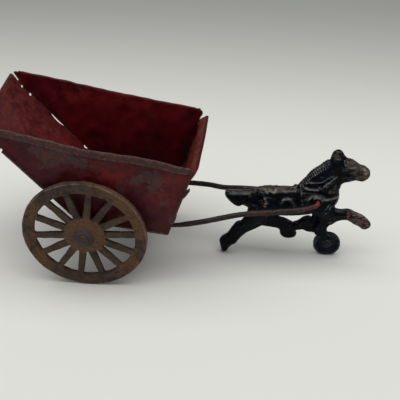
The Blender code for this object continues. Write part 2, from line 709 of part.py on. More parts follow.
def build_guide_wheel():
    """Small disc wheel with a raised rim and hub under the horse's chest."""
    hub_r, web_r, rim_r, edge = 3.0, 3.6, 7.4, 0.5
    half, web = GUIDE_HALF_T, 1.1
    face = [(GUIDE_BORE_R, half), (hub_r, half), (web_r, web), (rim_r, web), (rim_r + edge, half),
            (GUIDE_R - edge, half), (GUIDE_R, half - edge)]
    profile = face + [(radius, -y) for radius, y in face[::-1]]
    obj = add_mesh("guide_wheel", turned(profile, 32), TOY, BLACK_PAINT, (AXLE_X + GUIDE_X, 0.0, GUIDE_R))
    shade(obj)
    return obj


def build_guide_pin(parent):
    """Peened pin that the guide wheel turns on."""
    reach = LUG_OUTER_Y + GAP
    mesh = turned(button(2.2, 0.9, PIN_R, -reach, reach), 12)
    placed = moved(mesh, x=GUIDE_X - PIVOT_X, z=GUIDE_R - PIVOT_Z)
    obj = add_part("guide_wheel_pin", placed, BLACK_PAINT, parent)
    shade(obj)
    return obj


def main():
    """Build the toy piece by piece."""
    build_axle()
    for label, side in SIDES:
        build_cart_wheel(label, side)
        build_shaft(label, side)
    box_pivot = pivot_empty("box_pivot", 0.0, WHEEL_R)
    build_folded_sheet(box_pivot)
    for label, side in SIDES:
        build_side_panel(label, side, box_pivot)
        build_bracket(label, side, box_pivot)
        for place, along in RIVET_PLACES:
            build_bracket_rivet(label, side, place, along, box_pivot)
    horse_pivot = pivot_empty("horse_pivot", PIVOT_X, PIVOT_Z)
    for label, side in SIDES:
        build_horse_half(label, side, horse_pivot)
    for label, place in zip(("rear", "front"), HORSE_RIVETS):
        build_horse_rivet(label, place, horse_pivot)
    build_guide_wheel()
    build_guide_pin(horse_pivot)


clear_scene()
TOY = new_collection("horse_drawn_dump_cart")
CUTTERS = new_collection("cutters")
RED_PAINT = material("red_paint", (0.16, 0.028, 0.03), 0.62, 0.0)
RUSTY_IRON = material("rusty_iron", (0.15, 0.11, 0.09), 0.7, 0.4)
DARK_STEEL = material("dark_steel", (0.08, 0.07, 0.065), 0.6, 0.5)
SHAFT_PAINT = material("shaft_paint", (0.09, 0.03, 0.03), 0.6, 0.2)
BLACK_PAINT = material("black_paint", (0.02, 0.022, 0.028), 0.45, 0.0)
main()
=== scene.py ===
"""Looks of a horse-drawn dump cart toy: pressed-steel cart on cast wheels, cast-iron horse.

Lengths are millimetres in the cart's own frame: x forward from the axle, y across with the viewer's
side negative, z up from the ground. They become metres in the toy's frame when a mesh is made.
"""

import json
import logging
import math
from collections.abc import Callable
from dataclasses import dataclass, field
from enum import Enum

import bpy
import numpy as np
from mathutils import Matrix
from mathutils.geometry import delaunay_2d_cdt


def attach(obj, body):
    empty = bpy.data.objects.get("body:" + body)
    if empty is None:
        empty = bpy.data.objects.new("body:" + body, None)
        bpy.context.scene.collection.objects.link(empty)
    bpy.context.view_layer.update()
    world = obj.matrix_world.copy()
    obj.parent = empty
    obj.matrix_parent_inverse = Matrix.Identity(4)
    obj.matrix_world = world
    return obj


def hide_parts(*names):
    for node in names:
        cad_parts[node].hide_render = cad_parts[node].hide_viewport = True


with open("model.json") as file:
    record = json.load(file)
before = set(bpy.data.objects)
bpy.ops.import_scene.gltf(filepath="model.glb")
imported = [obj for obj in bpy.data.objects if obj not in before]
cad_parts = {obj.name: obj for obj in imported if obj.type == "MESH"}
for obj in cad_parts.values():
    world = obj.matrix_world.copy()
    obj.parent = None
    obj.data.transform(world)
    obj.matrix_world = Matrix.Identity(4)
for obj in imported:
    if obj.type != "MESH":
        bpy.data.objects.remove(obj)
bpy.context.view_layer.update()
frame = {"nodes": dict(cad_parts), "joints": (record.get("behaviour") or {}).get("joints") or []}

Array = np.ndarray
Material = bpy.types.Material
Socket = bpy.types.NodeSocket

LOG = logging.getLogger("dump_cart")
MM = 0.001
TIP_JOINT = next(joint for joint in frame["joints"] if joint["name"] == "box_tip")
AXLE_X = TIP_JOINT["pos_m"][0] / MM
AXLE_Z = TIP_JOINT["pos_m"][2] / MM
SHAFT_PIVOT = (150.5, 50.4)
GUIDE_CENTRE = (160.2, 9.4)
HORSE_RIVETS = {"rear": (113.5, 47.5, 8.0), "front": (151.5, 61.0, 7.5)}
FLOOR_RIVETS = {"front": 9.2, "rear": -2.4}
FLOOR_RIVET_Y = 32.0


class Side(Enum):
    """The two sides of the toy: the viewer's is the right one, at negative y."""

    RIGHT = -1.0
    LEFT = 1.0

    @property
    def label(self) -> str:
        """Name of the side as the frame's nodes use it."""
        return self.name.lower()


class Slot(Enum):
    """Material slots of the record."""

    SHEET = "sheet_paint"
    WHEEL = "wheel_iron"
    AXLE = "axle_steel"
    BRACKET = "bracket_steel"
    WIRE = "shaft_wire"
    HORSE = "horse_paint"
    GUIDE = "guide_iron"


def tone(red: float, green: float, blue: float) -> tuple[float, ...]:
    """Turn a display colour of 0 to 255 into linear light.

    Args:
        red, green, blue: display values.

    Returns:
        Linear red, green, blue and an alpha of 1.
    """
    shares = [value / 255 for value in (red, green, blue)]
    return (*[s / 12.92 if s <= 0.04045 else ((s + 0.055) / 1.055) ** 2.4 for s in shares], 1.0)


def ripple(points: Array, size: float, seed: int, waves: int = 14) -> Array:
    """Give smooth chance heights: the scaled sum of sines along random directions.

    Args:
        points: rows of coordinates in millimetres.
        size: usual distance from crest to crest.
        seed: picks the directions and phases.
        waves: number of sines.

    Returns:
        One height for each point, with a spread of about 1.
    """
    rng = np.random.default_rng(seed)
    ways = rng.normal(size=(waves, points.shape[1]))
    ways *= (2 * math.pi / size) * rng.uniform(0.6, 1.7, (waves, 1)) / np.linalg.norm(ways, axis=1)[:, None]
    phases = rng.uniform(0.0, 2 * math.pi, waves)
    return np.sin(points @ ways.T + phases).sum(axis=1) * math.sqrt(2 / waves)


def unit(value: Array) -> Array:
    """Hold a value between 0 and 1."""
    return np.clip(value, 0.0, 1.0)


def ease(value: Array) -> Array:
    """Ease from 0 to 1 as the value goes from 0 to 1, flat at both ends."""
    share = unit(value)
    return share * share * (3 - 2 * share)


def bell(distance: Array, width: float) -> Array:
    """Fall off from 1 as exp of minus the squared share of the width."""
    return np.exp(-(distance / width) ** 2)


def spot(x: Array, z: Array, at_x: float, at_z: float, wide: float, tall: float,
         strength: float = 1.0) -> Array:
    """Draw a soft oval spot: its strength times a bell along x and one along z.

    Args:
        x, z: coordinates.
        at_x, at_z: the spot's middle.
        wide, tall: its reach along x and z.
        strength: its value in the middle.

    Returns:
        One value for each point.
    """
    return strength * bell(x - at_x, wide) * bell(z - at_z, tall)


def line_distance(x: Array, z: Array, line: tuple | list | Array) -> Array:
    """Measure how far points lie from a line of straight runs, as the least distance to any run.

    Args:
        x, z: coordinates, of one shape.
        line: corners of the line.

    Returns:
        Distances, in the shape of x.
    """
    best = np.full(np.broadcast(x, z).shape, np.inf)
    for (ax, az), (bx, bz) in zip(line, line[1:]):
        dx, dz = bx - ax, bz - az
        along = unit(((x - ax) * dx + (z - az) * dz) / (dx * dx + dz * dz))
        best = np.minimum(best, np.hypot(x - ax - along * dx, z - az - along * dz))
    return best


def inside_loop(x: Array, z: Array, loop: Array) -> Array:
    """Test points against a closed outline by counting the edges to their right.

    Args:
        x, z: coordinates, flat arrays.
        loop: outline corners, one row each.

    Returns:
        True for each point inside.
    """
    ends = np.roll(loop, -1, axis=0)
    crossed = (loop[:, 1] > z[:, None]) != (ends[:, 1] > z[:, None])
    with np.errstate(divide="ignore", invalid="ignore"):
        slope = (ends[:, 0] - loop[:, 0]) / (ends[:, 1] - loop[:, 1])
        cut = loop[:, 0] + (z[:, None] - loop[:, 1]) * slope
    return (np.sum(crossed & (x[:, None] < cut), axis=1) % 2).astype(bool)


def loop_distance(x: Array, z: Array, loop: Array) -> Array:
    """Signed distance to a closed outline, negative inside it.

    Args:
        x, z: coordinates, of one shape.
        loop: outline corners, one row each.

    Returns:
        Distances, in the shape of x.
    """
    away = line_distance(x, z, np.vstack([loop, loop[:1]]))
    return np.where(inside_loop(x.ravel(), z.ravel(), loop).reshape(x.shape), -away, away)


def rounded(points: list | Array, radii: list[float], step_deg: float = 9.0) -> Array:
    """Round the corners of an outline: each corner with a radius becomes an arc that meets both sides.

    Args:
        points: corners, the last one followed by the first where the outline is closed.
        radii: one radius for each corner, 0 for a sharp one.
        step_deg: largest turn between two points of an arc.

    Returns:
        The outline's points, one row each.
    """
    corners = np.asarray(points, float)
    line = []
    for index, (corner, radius) in enumerate(zip(corners, radii)):
        if radius <= 0.0:
            line.append(corner)
            continue
        before, after = corners[index - 1] - corner, corners[(index + 1) % len(corners)] - corner
        before, after = before / np.linalg.norm(before), after / np.linalg.norm(after)
        half = math.acos(float(np.clip(before @ after, -1.0, 1.0))) / 2
        middle = (before + after) / np.linalg.norm(before + after)
        centre = corner + middle * (radius / math.sin(half))
        start = corner + before * (radius / math.tan(half)) - centre
        turn = math.pi - 2 * half
        steps = max(2, math.ceil(math.degrees(turn) / step_deg))
        sign = 1.0 if before[0] * after[1] - before[1] * after[0] < 0.0 else -1.0
        angles = sign * turn * np.arange(steps + 1) / steps
        line += list(centre + np.stack([start[0] * np.cos(angles) - start[1] * np.sin(angles),
                                        start[0] * np.sin(angles) + start[1] * np.cos(angles)], 1))
    return np.array(line)


def resampled(line: Array, spacing: float) -> Array:
    """Add points along an open line so that none are further apart than the spacing.

    Args:
        line: corners, one row each.
        spacing: largest distance kept.

    Returns:
        The corners with even points between them.
    """
    pieces = []
    for start, end in zip(line, line[1:]):
        steps = max(1, math.ceil(np.linalg.norm(end - start) / spacing))
        pieces.append(start + (end - start) * (np.arange(steps) / steps)[:, None])
    return np.concatenate(pieces + [line[-1:]])


def smooth_line(stations: tuple | list, spacing: float) -> Array:
    """Run a Catmull-Rom curve through stations.

    Args:
        stations: points, of any number of coordinates.
        spacing: distance between the curve's points.

    Returns:
        The curve's points, one row each.
    """
    points = np.asarray(stations, float)
    points = np.vstack([points[0] * 2 - points[1], points, points[-1] * 2 - points[-2]])
    pieces = []
    for a, b, c, d in zip(points, points[1:], points[2:], points[3:]):
        steps = max(1, round(float(np.linalg.norm(c - b)) / spacing))
        t = (np.arange(steps) / steps)[:, None]
        pieces.append(0.5 * (2 * b + (c - a) * t + (2 * a - 5 * b + 4 * c - d) * t ** 2
                             + (3 * b - a - 3 * c + d) * t ** 3))
    return np.concatenate(pieces + [points[-2:-1]])


@dataclass
class Shape:
    """A closed surface.

    points are millimetres in the cart's frame, faces are arrays of point numbers with three or four
    to a row, and values hold one number a point for the finishes to read.
    """

    points: Array
    faces: list[Array]
    values: dict[str, Array] = field(default_factory=dict)

    def on_side(self, side: Side) -> "Shape":
        """Return the shape for a side: made for the left, it is reflected for the right, faces out."""
        mirrored = Shape(self.points * (1.0, -1.0, 1.0), [rows[:, ::-1] for rows in self.faces], self.values)
        return self if side is Side.LEFT else mirrored

    def moved(self, x: float = 0.0, y: float = 0.0, z: float = 0.0) -> "Shape":
        """Shift every point."""
        return Shape(self.points + (x, y, z), self.faces, self.values)

    def turned(self, matrix: Array) -> "Shape":
        """Multiply every point by a 3 by 3 matrix."""
        return Shape(self.points @ matrix.T, self.faces, self.values)

    def normals(self) -> Array:
        """Average the face normals at each point, larger faces counting for more.

        Returns:
            One unit vector a point.
        """
        total = np.zeros_like(self.points)
        for rows in self.faces:
            spots = self.points[rows]
            other = spots[:, -1] - spots[:, 1] if rows.shape[1] == 4 else spots[:, 2] - spots[:, 1]
            across = np.cross(spots[:, 2] - spots[:, 0], other)
            for column in rows.T:
                for axis in range(3):
                    total[:, axis] += np.bincount(column, across[:, axis], len(self.points))
        return total / np.maximum(np.linalg.norm(total, axis=1), 1e-12)[:, None]

    def grounded(self) -> "Shape":
        """Press what lies under the floor level flat on it."""
        return Shape(np.maximum(self.points, (-np.inf, -np.inf, 0.0)), self.faces, self.values)

    def roughened(self, rise: float, size: float, seed: int) -> "Shape":
        """Move points along their normals by a ripple, as sand casting or handling leaves a surface.

        Args:
            rise: spread of the heights.
            size: usual distance between bumps.
            seed: picks the bumps.

        Returns:
            The roughened shape.
        """
        shift = self.normals() * (rise * ripple(self.points, size, seed))[:, None]
        return Shape(self.points + shift, self.faces, self.values)

    def to_object(self, name: str, material: Material, crease_deg: float = 40.0) -> bpy.types.Object:
        """Make the mesh object, in metres in the toy's frame.

        Args:
            name: the piece's name.
            material: its finish.
            crease_deg: edges that turn more than this are shaded sharp.

        Returns:
            The linked object.
        """
        mesh = bpy.data.meshes.new(name)
        placed = ((self.points + (AXLE_X, 0.0, 0.0)) * MM).astype(np.float32)
        corners = np.concatenate([rows.ravel() for rows in self.faces]).astype(np.int32)
        sizes = np.concatenate([np.full(len(rows), rows.shape[1]) for rows in self.faces])
        mesh.vertices.add(len(placed))
        mesh.vertices.foreach_set("co", placed.ravel())
        mesh.loops.add(len(corners))
        mesh.loops.foreach_set("vertex_index", corners)
        mesh.polygons.add(len(sizes))
        mesh.polygons.foreach_set("loop_start", (np.cumsum(sizes) - sizes).astype(np.int32))
        for label, heights in self.values.items():
            layer = mesh.attributes.new(label, "FLOAT", "POINT")
            layer.data.foreach_set("value", np.asarray(heights, np.float32))
        mesh.update(calc_edges=True)
        mesh.validate()
        mesh.shade_smooth()
        mesh.set_sharp_from_angle(angle=math.radians(crease_deg))
        mesh.materials.append(material)
        piece = bpy.data.objects.new(name, mesh)
        bpy.context.scene.collection.objects.link(piece)
        return piece


def grid_quads(rows: int, columns: int, close_rows: bool, close_columns: bool) -> Array:
    """Number the four corners of each cell of a grid of points.

    Args:
        rows, columns: size of the grid, its points numbered row by row.
        close_rows, close_columns: whether the last row or column joins the first.

    Returns:
        One row of four point numbers a cell.
    """
    row = np.arange(rows if close_rows else rows - 1)[:, None]
    column = np.arange(columns if close_columns else columns - 1)[None, :]
    after_row, after_column = (row + 1) % rows, (column + 1) % columns
    cells = [row * columns + column, row * columns + after_column,
             after_row * columns + after_column, after_row * columns + column]
    return np.stack([np.broadcast_to(cell, (len(row), column.shape[1])).ravel() for cell in cells], 1)


def capped(rings: Array, quads: Array, start: Array, end: Array) -> Shape:
    """Close a tube of rings with a fan of triangles at each end.

    Args:
        rings: points, by ring and place round it.
        quads: the faces between the rings.
        start, end: the two poles.

    Returns:
        The closed shape.
    """
    sides, count = rings.shape[1], rings.shape[0] * rings.shape[1]
    step = np.arange(sides)
    after = (step + 1) % sides
    base = count - sides
    fans = [np.stack([np.full(sides, count), after, step], 1),
            np.stack([np.full(sides, count + 1), base + step, base + after], 1)]
    return Shape(np.vstack([rings.reshape(-1, 3), start, end]), [quads, *fans])


def lathe(profile: Array, sides: int = 64) -> Shape:
    """Turn a profile about the y axis: each point sweeps x = radius cos a, z = radius sin a.

    Args:
        profile: rows of (radius, y). It runs from the far pole down its outer side to the near pole,
            or round a bore and back, so that faces point out.
        sides: number of steps round.

    Returns:
        The turned shape, its poles closed with triangles.
    """
    poled = profile[0, 0] < 1e-6
    body = profile[1:-1] if poled else profile
    turn = 2 * math.pi * np.arange(sides) / sides
    radius, height = body[:, :1], np.broadcast_to(body[:, 1:], (len(body), sides))
    rings = np.stack([radius * np.cos(turn), height, radius * np.sin(turn)], 2)
    quads = grid_quads(len(body), sides, not poled, True)[:, ::-1]
    if poled:
        return capped(rings, quads, (0.0, profile[0, 1], 0.0), (0.0, profile[-1, 1], 0.0))
    return Shape(rings.reshape(-1, 3), [quads])


def tube(path: Array, radii: Array, sides: int = 24) -> Shape:
    """Carry a circle along a path, turning it no more than the path turns.

    Args:
        path: points along the middle, one row each.
        radii: radius at each path point; the ends close on a pole.
        sides: points round the circle.

    Returns:
        The closed tube.
    """
    ways = np.gradient(path, axis=0)
    ways /= np.linalg.norm(ways, axis=1)[:, None]
    across = np.empty_like(ways)
    across[0] = np.cross(ways[0], (0.0, 1.0, 0.0))
    for index in range(1, len(path)):
        carried = across[index - 1] - ways[index] * (across[index - 1] @ ways[index])
        across[index] = carried / np.linalg.norm(carried)
    other = np.cross(ways, across)
    turn = 2 * math.pi * np.arange(sides) / sides
    ring = across[:, None, :] * np.cos(turn)[None, :, None] + other[:, None, :] * np.sin(turn)[None, :, None]
    rings = path[:, None, :] + ring * radii[:, None, None]
    return capped(rings, grid_quads(len(path), sides, False, True),
                  path[0] - ways[0] * radii[0] * 0.4, path[-1] + ways[-1] * radii[-1] * 0.4)


class SolidField:
    """A solid as distances to its surface on a block of even points, negative inside.

    Shapes are blended in and carved out, and the surface is then read off as one closed mesh with a
    point in each cell that it crosses and a face across each grid edge that it cuts.
    """

    EMPTY = 50.0

    def __init__(self, low: tuple[float, ...], high: tuple[float, ...], voxel: float) -> None:
        """Set up an empty block.

        Args:
            low, high: opposite corners.
            voxel: distance between grid points.
        """
        self.low = np.array(low)
        self.voxel = voxel
        counts = np.ceil((np.array(high) - self.low) / voxel).astype(int) + 1
        self.axes = [self.low[axis] + voxel * np.arange(counts[axis]) for axis in range(3)]
        self.value = np.full(counts, self.EMPTY, np.float32)

    def around(self, line: Array | None = None, reach: float = 0.0) -> tuple[tuple[slice, ...], list[Array]]:
        """Find the part of the block about a side-view line, or the whole block.

        Args:
            line: rows that start with x and z.
            reach: how far the part goes past the line.

        Returns:
            Its slices, and its x, y and z to broadcast.
        """
        spans = [slice(None)] * 3
        if line is not None:
            for axis, places in ((0, line[:, 0]), (2, line[:, 1])):
                ends = np.searchsorted(self.axes[axis], (places.min() - reach, places.max() + reach))
                spans[axis] = slice(ends[0], ends[1] + 1)
        x, y, z = (axis[span] for axis, span in zip(self.axes, spans))
        return tuple(spans), [x[:, None, None], y[None, :, None], z[None, None, :]]

    def blend(self, spans: tuple[slice, ...], distance: Array, soft: float) -> None:
        """Join a shape in: the lesser distance, eased where the two are within the soft width.

        Args:
            spans: part of the block that the distances cover.
            distance: signed distances to the shape.
            soft: width of the fillet.
        """
        old = self.value[spans]
        share = unit(0.5 + 0.5 * (old - distance) / soft)
        self.value[spans] = old + (distance - old) * share - soft * share * (1 - share)

    def carve(self, distance: Array) -> None:
        """Cut a shape out of the whole block: the greater of the old distance and minus the shape's."""
        self.value[:] = np.maximum(self.value, -distance)

    def surface(self) -> Shape:
        """Read the surface off the block.

        Returns:
            The closed shape, faces outward.
        """
        value = self.value
        stride = np.array([value.shape[1] * value.shape[2], value.shape[2], 1])
        for axis in range(3):
            layers = np.moveaxis(value, axis, 0)
            layers[[0, -1]] = np.maximum(layers[[0, -1]], 0.01)
        ids, places, outward = [], [], []
        for axis in range(3):
            layers = np.moveaxis(value, axis, 0)
            lower, upper = layers[:-1], layers[1:]
            cut = np.argwhere((lower < 0.0) != (upper < 0.0))
            first, second = lower[tuple(cut.T)], upper[tuple(cut.T)]
            index = np.empty_like(cut)
            index[:, [axis] + [other for other in range(3) if other != axis]] = cut
            place = index.astype(float)
            place[:, axis] += first / (first - second)
            one, two = stride[(axis + 1) % 3], stride[(axis + 2) % 3]
            corner = index @ stride
            ids.append(np.stack([corner - one - two, corner - two, corner, corner - one], 1))
            places.append(place)
            outward.append(first < 0.0)
        cells, numbers = np.unique(np.concatenate(ids), return_inverse=True)
        numbers = numbers.reshape(-1, 4)
        share = np.bincount(numbers.ravel(), minlength=len(cells))
        points = np.stack([np.bincount(numbers.ravel(), np.repeat(along, 4), len(cells)) / share
                           for along in np.concatenate(places).T], 1)
        quads = np.where(np.concatenate(outward)[:, None], numbers, numbers[:, ::-1])
        return Shape(self.low + self.voxel * points, [quads])


def round_box(one: Array, two: Array, half_one: float, half_two: float, edge: float) -> Array:
    """Distance to a rectangle with rounded corners: a smaller rectangle's distance less the edge radius.

    Args:
        one, two: coordinates from the rectangle's centre.
        half_one, half_two: half sizes.
        edge: corner radius.

    Returns:
        Signed distances.
    """
    out_one, out_two = np.abs(one) - half_one + edge, np.abs(two) - half_two + edge
    away = np.hypot(np.maximum(out_one, 0.0), np.maximum(out_two, 0.0))
    return away + np.minimum(np.maximum(out_one, out_two), 0.0) - edge


@dataclass
class SheetBlank:
    """A flat blank cut from sheet metal, to be bent, dented and given its thickness.

    outline is the closed cut edge as rows of flat coordinates, holes are inner cut edges, spacing is the
    distance between inner points, and rows are extra inner points, laid where the sheet will bend.
    """

    outline: Array
    holes: list[Array]
    spacing: float
    rows: Array

    def cut(self) -> tuple[Array, Array, Array]:
        """Fill the blank with triangles: a constrained Delaunay mesh of its edges and inner points.

        Returns:
            Flat points, triangles, and each point's distance from the nearest cut edge.
        """
        loops = [resampled(np.vstack([loop, loop[:1]]), self.spacing * 0.55)[:-1]
                 for loop in (self.outline, *self.holes)]
        low, high = self.outline.min(axis=0), self.outline.max(axis=0)
        across = np.arange(low[0], high[0], self.spacing)
        up = np.arange(low[1], high[1], self.spacing * math.sqrt(3.0) / 2)
        grid_x = across[None, :] + (np.arange(len(up)) % 2)[:, None] * self.spacing / 2
        grid = np.stack([grid_x, np.broadcast_to(up[:, None], grid_x.shape)], 2).reshape(-1, 2)
        far = np.ones(len(grid), bool)
        for some in np.array_split(self.rows, len(self.rows) // 400 + 1):
            gap = np.hypot(grid[:, 0, None] - some[:, 0], grid[:, 1, None] - some[:, 1]).min(axis=1)
            far &= gap > self.spacing * 0.5
        grid = np.vstack([grid[far], self.rows])
        keep = self.holds(grid) & (self.from_edge(grid, loops) > self.spacing * 0.4)
        points = np.vstack([*loops, grid[keep]])
        edges, start = [], 0
        for loop in loops:
            step = np.arange(len(loop))
            edges.append(start + np.stack([step, (step + 1) % len(loop)], 1))
            start += len(loop)
        corners = [tuple(point) for point in points.tolist()]
        result = delaunay_2d_cdt(corners, np.vstack(edges).tolist(), [], 0, 1e-5)
        flat = np.array([tuple(point) for point in result[0]])
        triangles = np.array(result[2])
        triangles = triangles[self.holds(flat[triangles].mean(axis=1))]
        return flat, triangles, self.from_edge(flat, loops)

    def holds(self, points: Array) -> Array:
        """Say which flat points lie on the blank: those inside an odd number of its cut edges."""
        return np.logical_xor.reduce([inside_loop(*points.T, loop) for loop in (self.outline, *self.holes)])

    @staticmethod
    def from_edge(points: Array, loops: list[Array]) -> Array:
        """Measure each flat point's distance to the nearest cut edge."""
        return np.min([line_distance(*points.T, np.vstack([loop, loop[:1]])) for loop in loops], axis=0)

    @staticmethod
    def thickened(middle: Array, normal: Array, triangles: Array, thickness: float,
                  values: dict[str, Array]) -> Shape:
        """Give the bent blank two faces, half the thickness to each side, and a wall along every cut edge.

        Args:
            middle, normal: each point's place, and the unit vector out of its front.
            triangles: turned round where they don't face along normal.
            thickness: of the sheet.
            values: point values, the same on both faces.

        Returns:
            The closed sheet, with a value "front" that is 1 on its front face.
        """
        corners = middle[triangles]
        turn = np.cross(corners[:, 1] - corners[:, 0], corners[:, 2] - corners[:, 0])
        if np.median(np.sum(turn * normal[triangles[:, 0]], axis=1)) <= 0.0:
            triangles = triangles[:, ::-1]
        count = len(middle)
        points = np.vstack([middle + normal * thickness / 2, middle - normal * thickness / 2])
        edges = np.vstack([triangles[:, [0, 1]], triangles[:, [1, 2]], triangles[:, [2, 0]]])
        keys = np.sort(edges, axis=1)
        order = keys[:, 0].astype(np.int64) * count + keys[:, 1]
        _, where, uses = np.unique(order, return_index=True, return_counts=True)
        rim = edges[where[uses == 1]]
        walls = np.stack([rim[:, 1], rim[:, 0], rim[:, 0] + count, rim[:, 1] + count], 1)
        both = {label: np.tile(heights, 2) for label, heights in values.items()}
        both["front"] = np.repeat([1.0, 0.0], count)
        return Shape(points, [triangles, triangles[:, ::-1] + count, walls], both)


@dataclass
class Fold:
    """A bend of a flat panel about a line.

    start is a point on the line and way the flat direction across it, away from the panel. Beyond the
    line the sheet turns through angle with the given radius at its middle surface, towards positive y
    where turn is 1 and negative where it is -1. reach limits how far along the line the fold applies.
    """

    start: Array
    way: Array
    radius: float
    angle: float
    turn: float
    reach: float

    def apply(self, flat: Array, middle: Array, normal: Array) -> None:
        """Bend points in place.

        Args:
            flat: flat (x, z) of each point.
            middle: their places on the middle surface, changed here.
            normal: their unit normals, changed here.
        """
        out = (flat - self.start) @ self.way
        along = (flat - self.start) @ np.array([-self.way[1], self.way[0]])
        bent = (out > 0.0) & (np.abs(along) < self.reach)
        arc = self.radius * self.angle
        angle = np.minimum(out, arc) / self.radius
        run = np.maximum(out - arc, 0.0)
        level = self.radius * np.sin(angle) + run * np.cos(angle)
        rise = self.radius * (1 - np.cos(angle)) + run * np.sin(angle)
        moved = flat - self.way * out[:, None] + self.way * level[:, None]
        middle[bent, ::2] = moved[bent]
        middle[bent, 1] += (self.turn * rise)[bent]
        normal[bent, ::2] = (-self.turn * np.sin(angle)[:, None] * self.way)[bent]
        normal[bent, 1] = np.cos(angle)[bent]

    def rows(self, half_width: float, spacing: float) -> Array:
        """Lay points along the bend, so that its curve is round: five lines across the arc.

        Args:
            half_width: how far the points run to each side of start.
            spacing: distance between them.

        Returns:
            Flat points, one row each.
        """
        along = np.arange(-half_width + spacing / 2, half_width, spacing)
        out = np.linspace(0.0, self.radius * self.angle, 5)
        side = np.array([-self.way[1], self.way[0]])
        return (self.start + out[:, None, None] * self.way + along[None, :, None] * side).reshape(-1, 2)


@dataclass
class Signal:
    """A number that a finish works out for each place; arithmetic on it adds Math nodes."""

    graph: "Graph"
    socket: Socket

    def __add__(self, other: "Signal | float") -> "Signal":
        """Add a signal or a number."""
        return self.graph.math("ADD", self, other)

    def __sub__(self, other: "Signal | float") -> "Signal":
        """Take a signal or a number away."""
        return self.graph.math("SUBTRACT", self, other)

    def __mul__(self, other: "Signal | float") -> "Signal":
        """Multiply by a signal or a number."""
        return self.graph.math("MULTIPLY", self, other)

    def __or__(self, other: "Signal") -> "Signal":
        """Keep the greater of two signals."""
        return self.graph.math("MAXIMUM", self, other)


class Graph:
    """Builds one material's nodes: each call adds a node and gives back the signal to read."""

    def __init__(self, name: str) -> None:
        """Start a material with an empty Principled shader.

        Args:
            name: of the material.
        """
        self.material = bpy.data.materials.new(name)
        self.material.use_nodes = True
        self.tree = self.material.node_tree
        self.shader = self.tree.nodes["Principled BSDF"]
        self.place = self.tree.nodes.new("ShaderNodeTexCoord").outputs["Object"]

    def node(self, kind: str, output: int | str, inputs: dict[int | str, object],
             **settings: object) -> Signal:
        """Add a node.

        Args:
            kind: its type.
            output: the output to read.
            inputs: the signal, socket, number or colour for each input.
            settings: the node's own properties.

        Returns:
            The output's signal.
        """
        node = self.tree.nodes.new(kind)
        for label, setting in settings.items():
            setattr(node, label, setting)
        self.fill(node, inputs)
        return Signal(self, node.outputs[output])

    def fill(self, node: bpy.types.Node, inputs: dict[int | str, object]) -> None:
        """Link a node's inputs to signals, or set their numbers or colours.

        Args:
            node: whose inputs they are.
            inputs: what each takes.
        """
        for label, value in inputs.items():
            value = value.socket if isinstance(value, Signal) else value
            if isinstance(value, Socket):
                self.tree.links.new(value, node.inputs[label])
            else:
                node.inputs[label].default_value = value

    def noise(self, size: float, detail: float = 4.0, rough: float = 0.6, stretch: tuple = (1.0, 1.0, 1.0),
              shift: float = 0.0, warp: float = 0.0) -> Signal:
        """Add fractal noise.

        Args:
            size: millimetres of its largest features.
            detail, rough, warp: of the noise.
            stretch: scale along each axis; below 1 draws it out.
            shift: moves the pattern, so two noises differ.

        Returns:
            The noise, about 0.3 to 0.7.
        """
        place = self.node("ShaderNodeMapping", 0, {"Vector": self.place, "Scale": stretch,
                                                   "Location": (shift, shift * 0.7, shift * 1.3)})
        return self.node("ShaderNodeTexNoise", "Fac", {"Vector": place, "Scale": 1 / (size * MM),
                                                       "Detail": detail, "Roughness": rough,
                                                       "Distortion": warp})

    def value(self, name: str) -> Signal:
        """Read a point value of the mesh."""
        return self.node("ShaderNodeAttribute", "Fac", {}, attribute_name=name)

    def ramp(self, value: Signal, low: float, high: float) -> Signal:
        """Ease a value from 0 at low to 1 at high."""
        return self.node("ShaderNodeMapRange", "Result", {"Value": value, "From Min": low, "From Max": high},
                         interpolation_type="SMOOTHSTEP")

    def math(self, kind: str, one: Signal | float, two: Signal | float) -> Signal:
        """Combine two numbers with a Math node of the given kind."""
        return self.node("ShaderNodeMath", 0, {0: one, 1: two}, operation=kind)

    def mix(self, share: Signal | float, under: object, over: object) -> Signal:
        """Lay one colour over another by a share."""
        return self.node("ShaderNodeMix", 2, {0: share, 6: under, 7: over}, data_type="RGBA")

    def blend(self, share: Signal, under: object, over: object) -> Signal:
        """Move a number from one value to another by a share."""
        return self.node("ShaderNodeMix", 0, {0: share, 2: under, 3: over})

    def finish(self, colour: Signal, roughness: object, metallic: object, bumps: list[tuple],
               gloss: float) -> Material:
        """Connect the shader.

        Args:
            colour, roughness, metallic: signals or values.
            bumps: (height signal, depth in millimetres) of each bump.
            gloss: the specular level.

        Returns:
            The material.
        """
        self.fill(self.shader, {"Base Color": colour, "Roughness": roughness, "Metallic": metallic,
                                "Specular IOR Level": gloss})
        relief = {}
        for height, depth in bumps:
            inputs = {"Distance": depth * MM, "Height": height, **relief}
            relief["Normal"] = self.node("ShaderNodeBump", 0, inputs)
        self.fill(self.shader, relief)
        return self.material


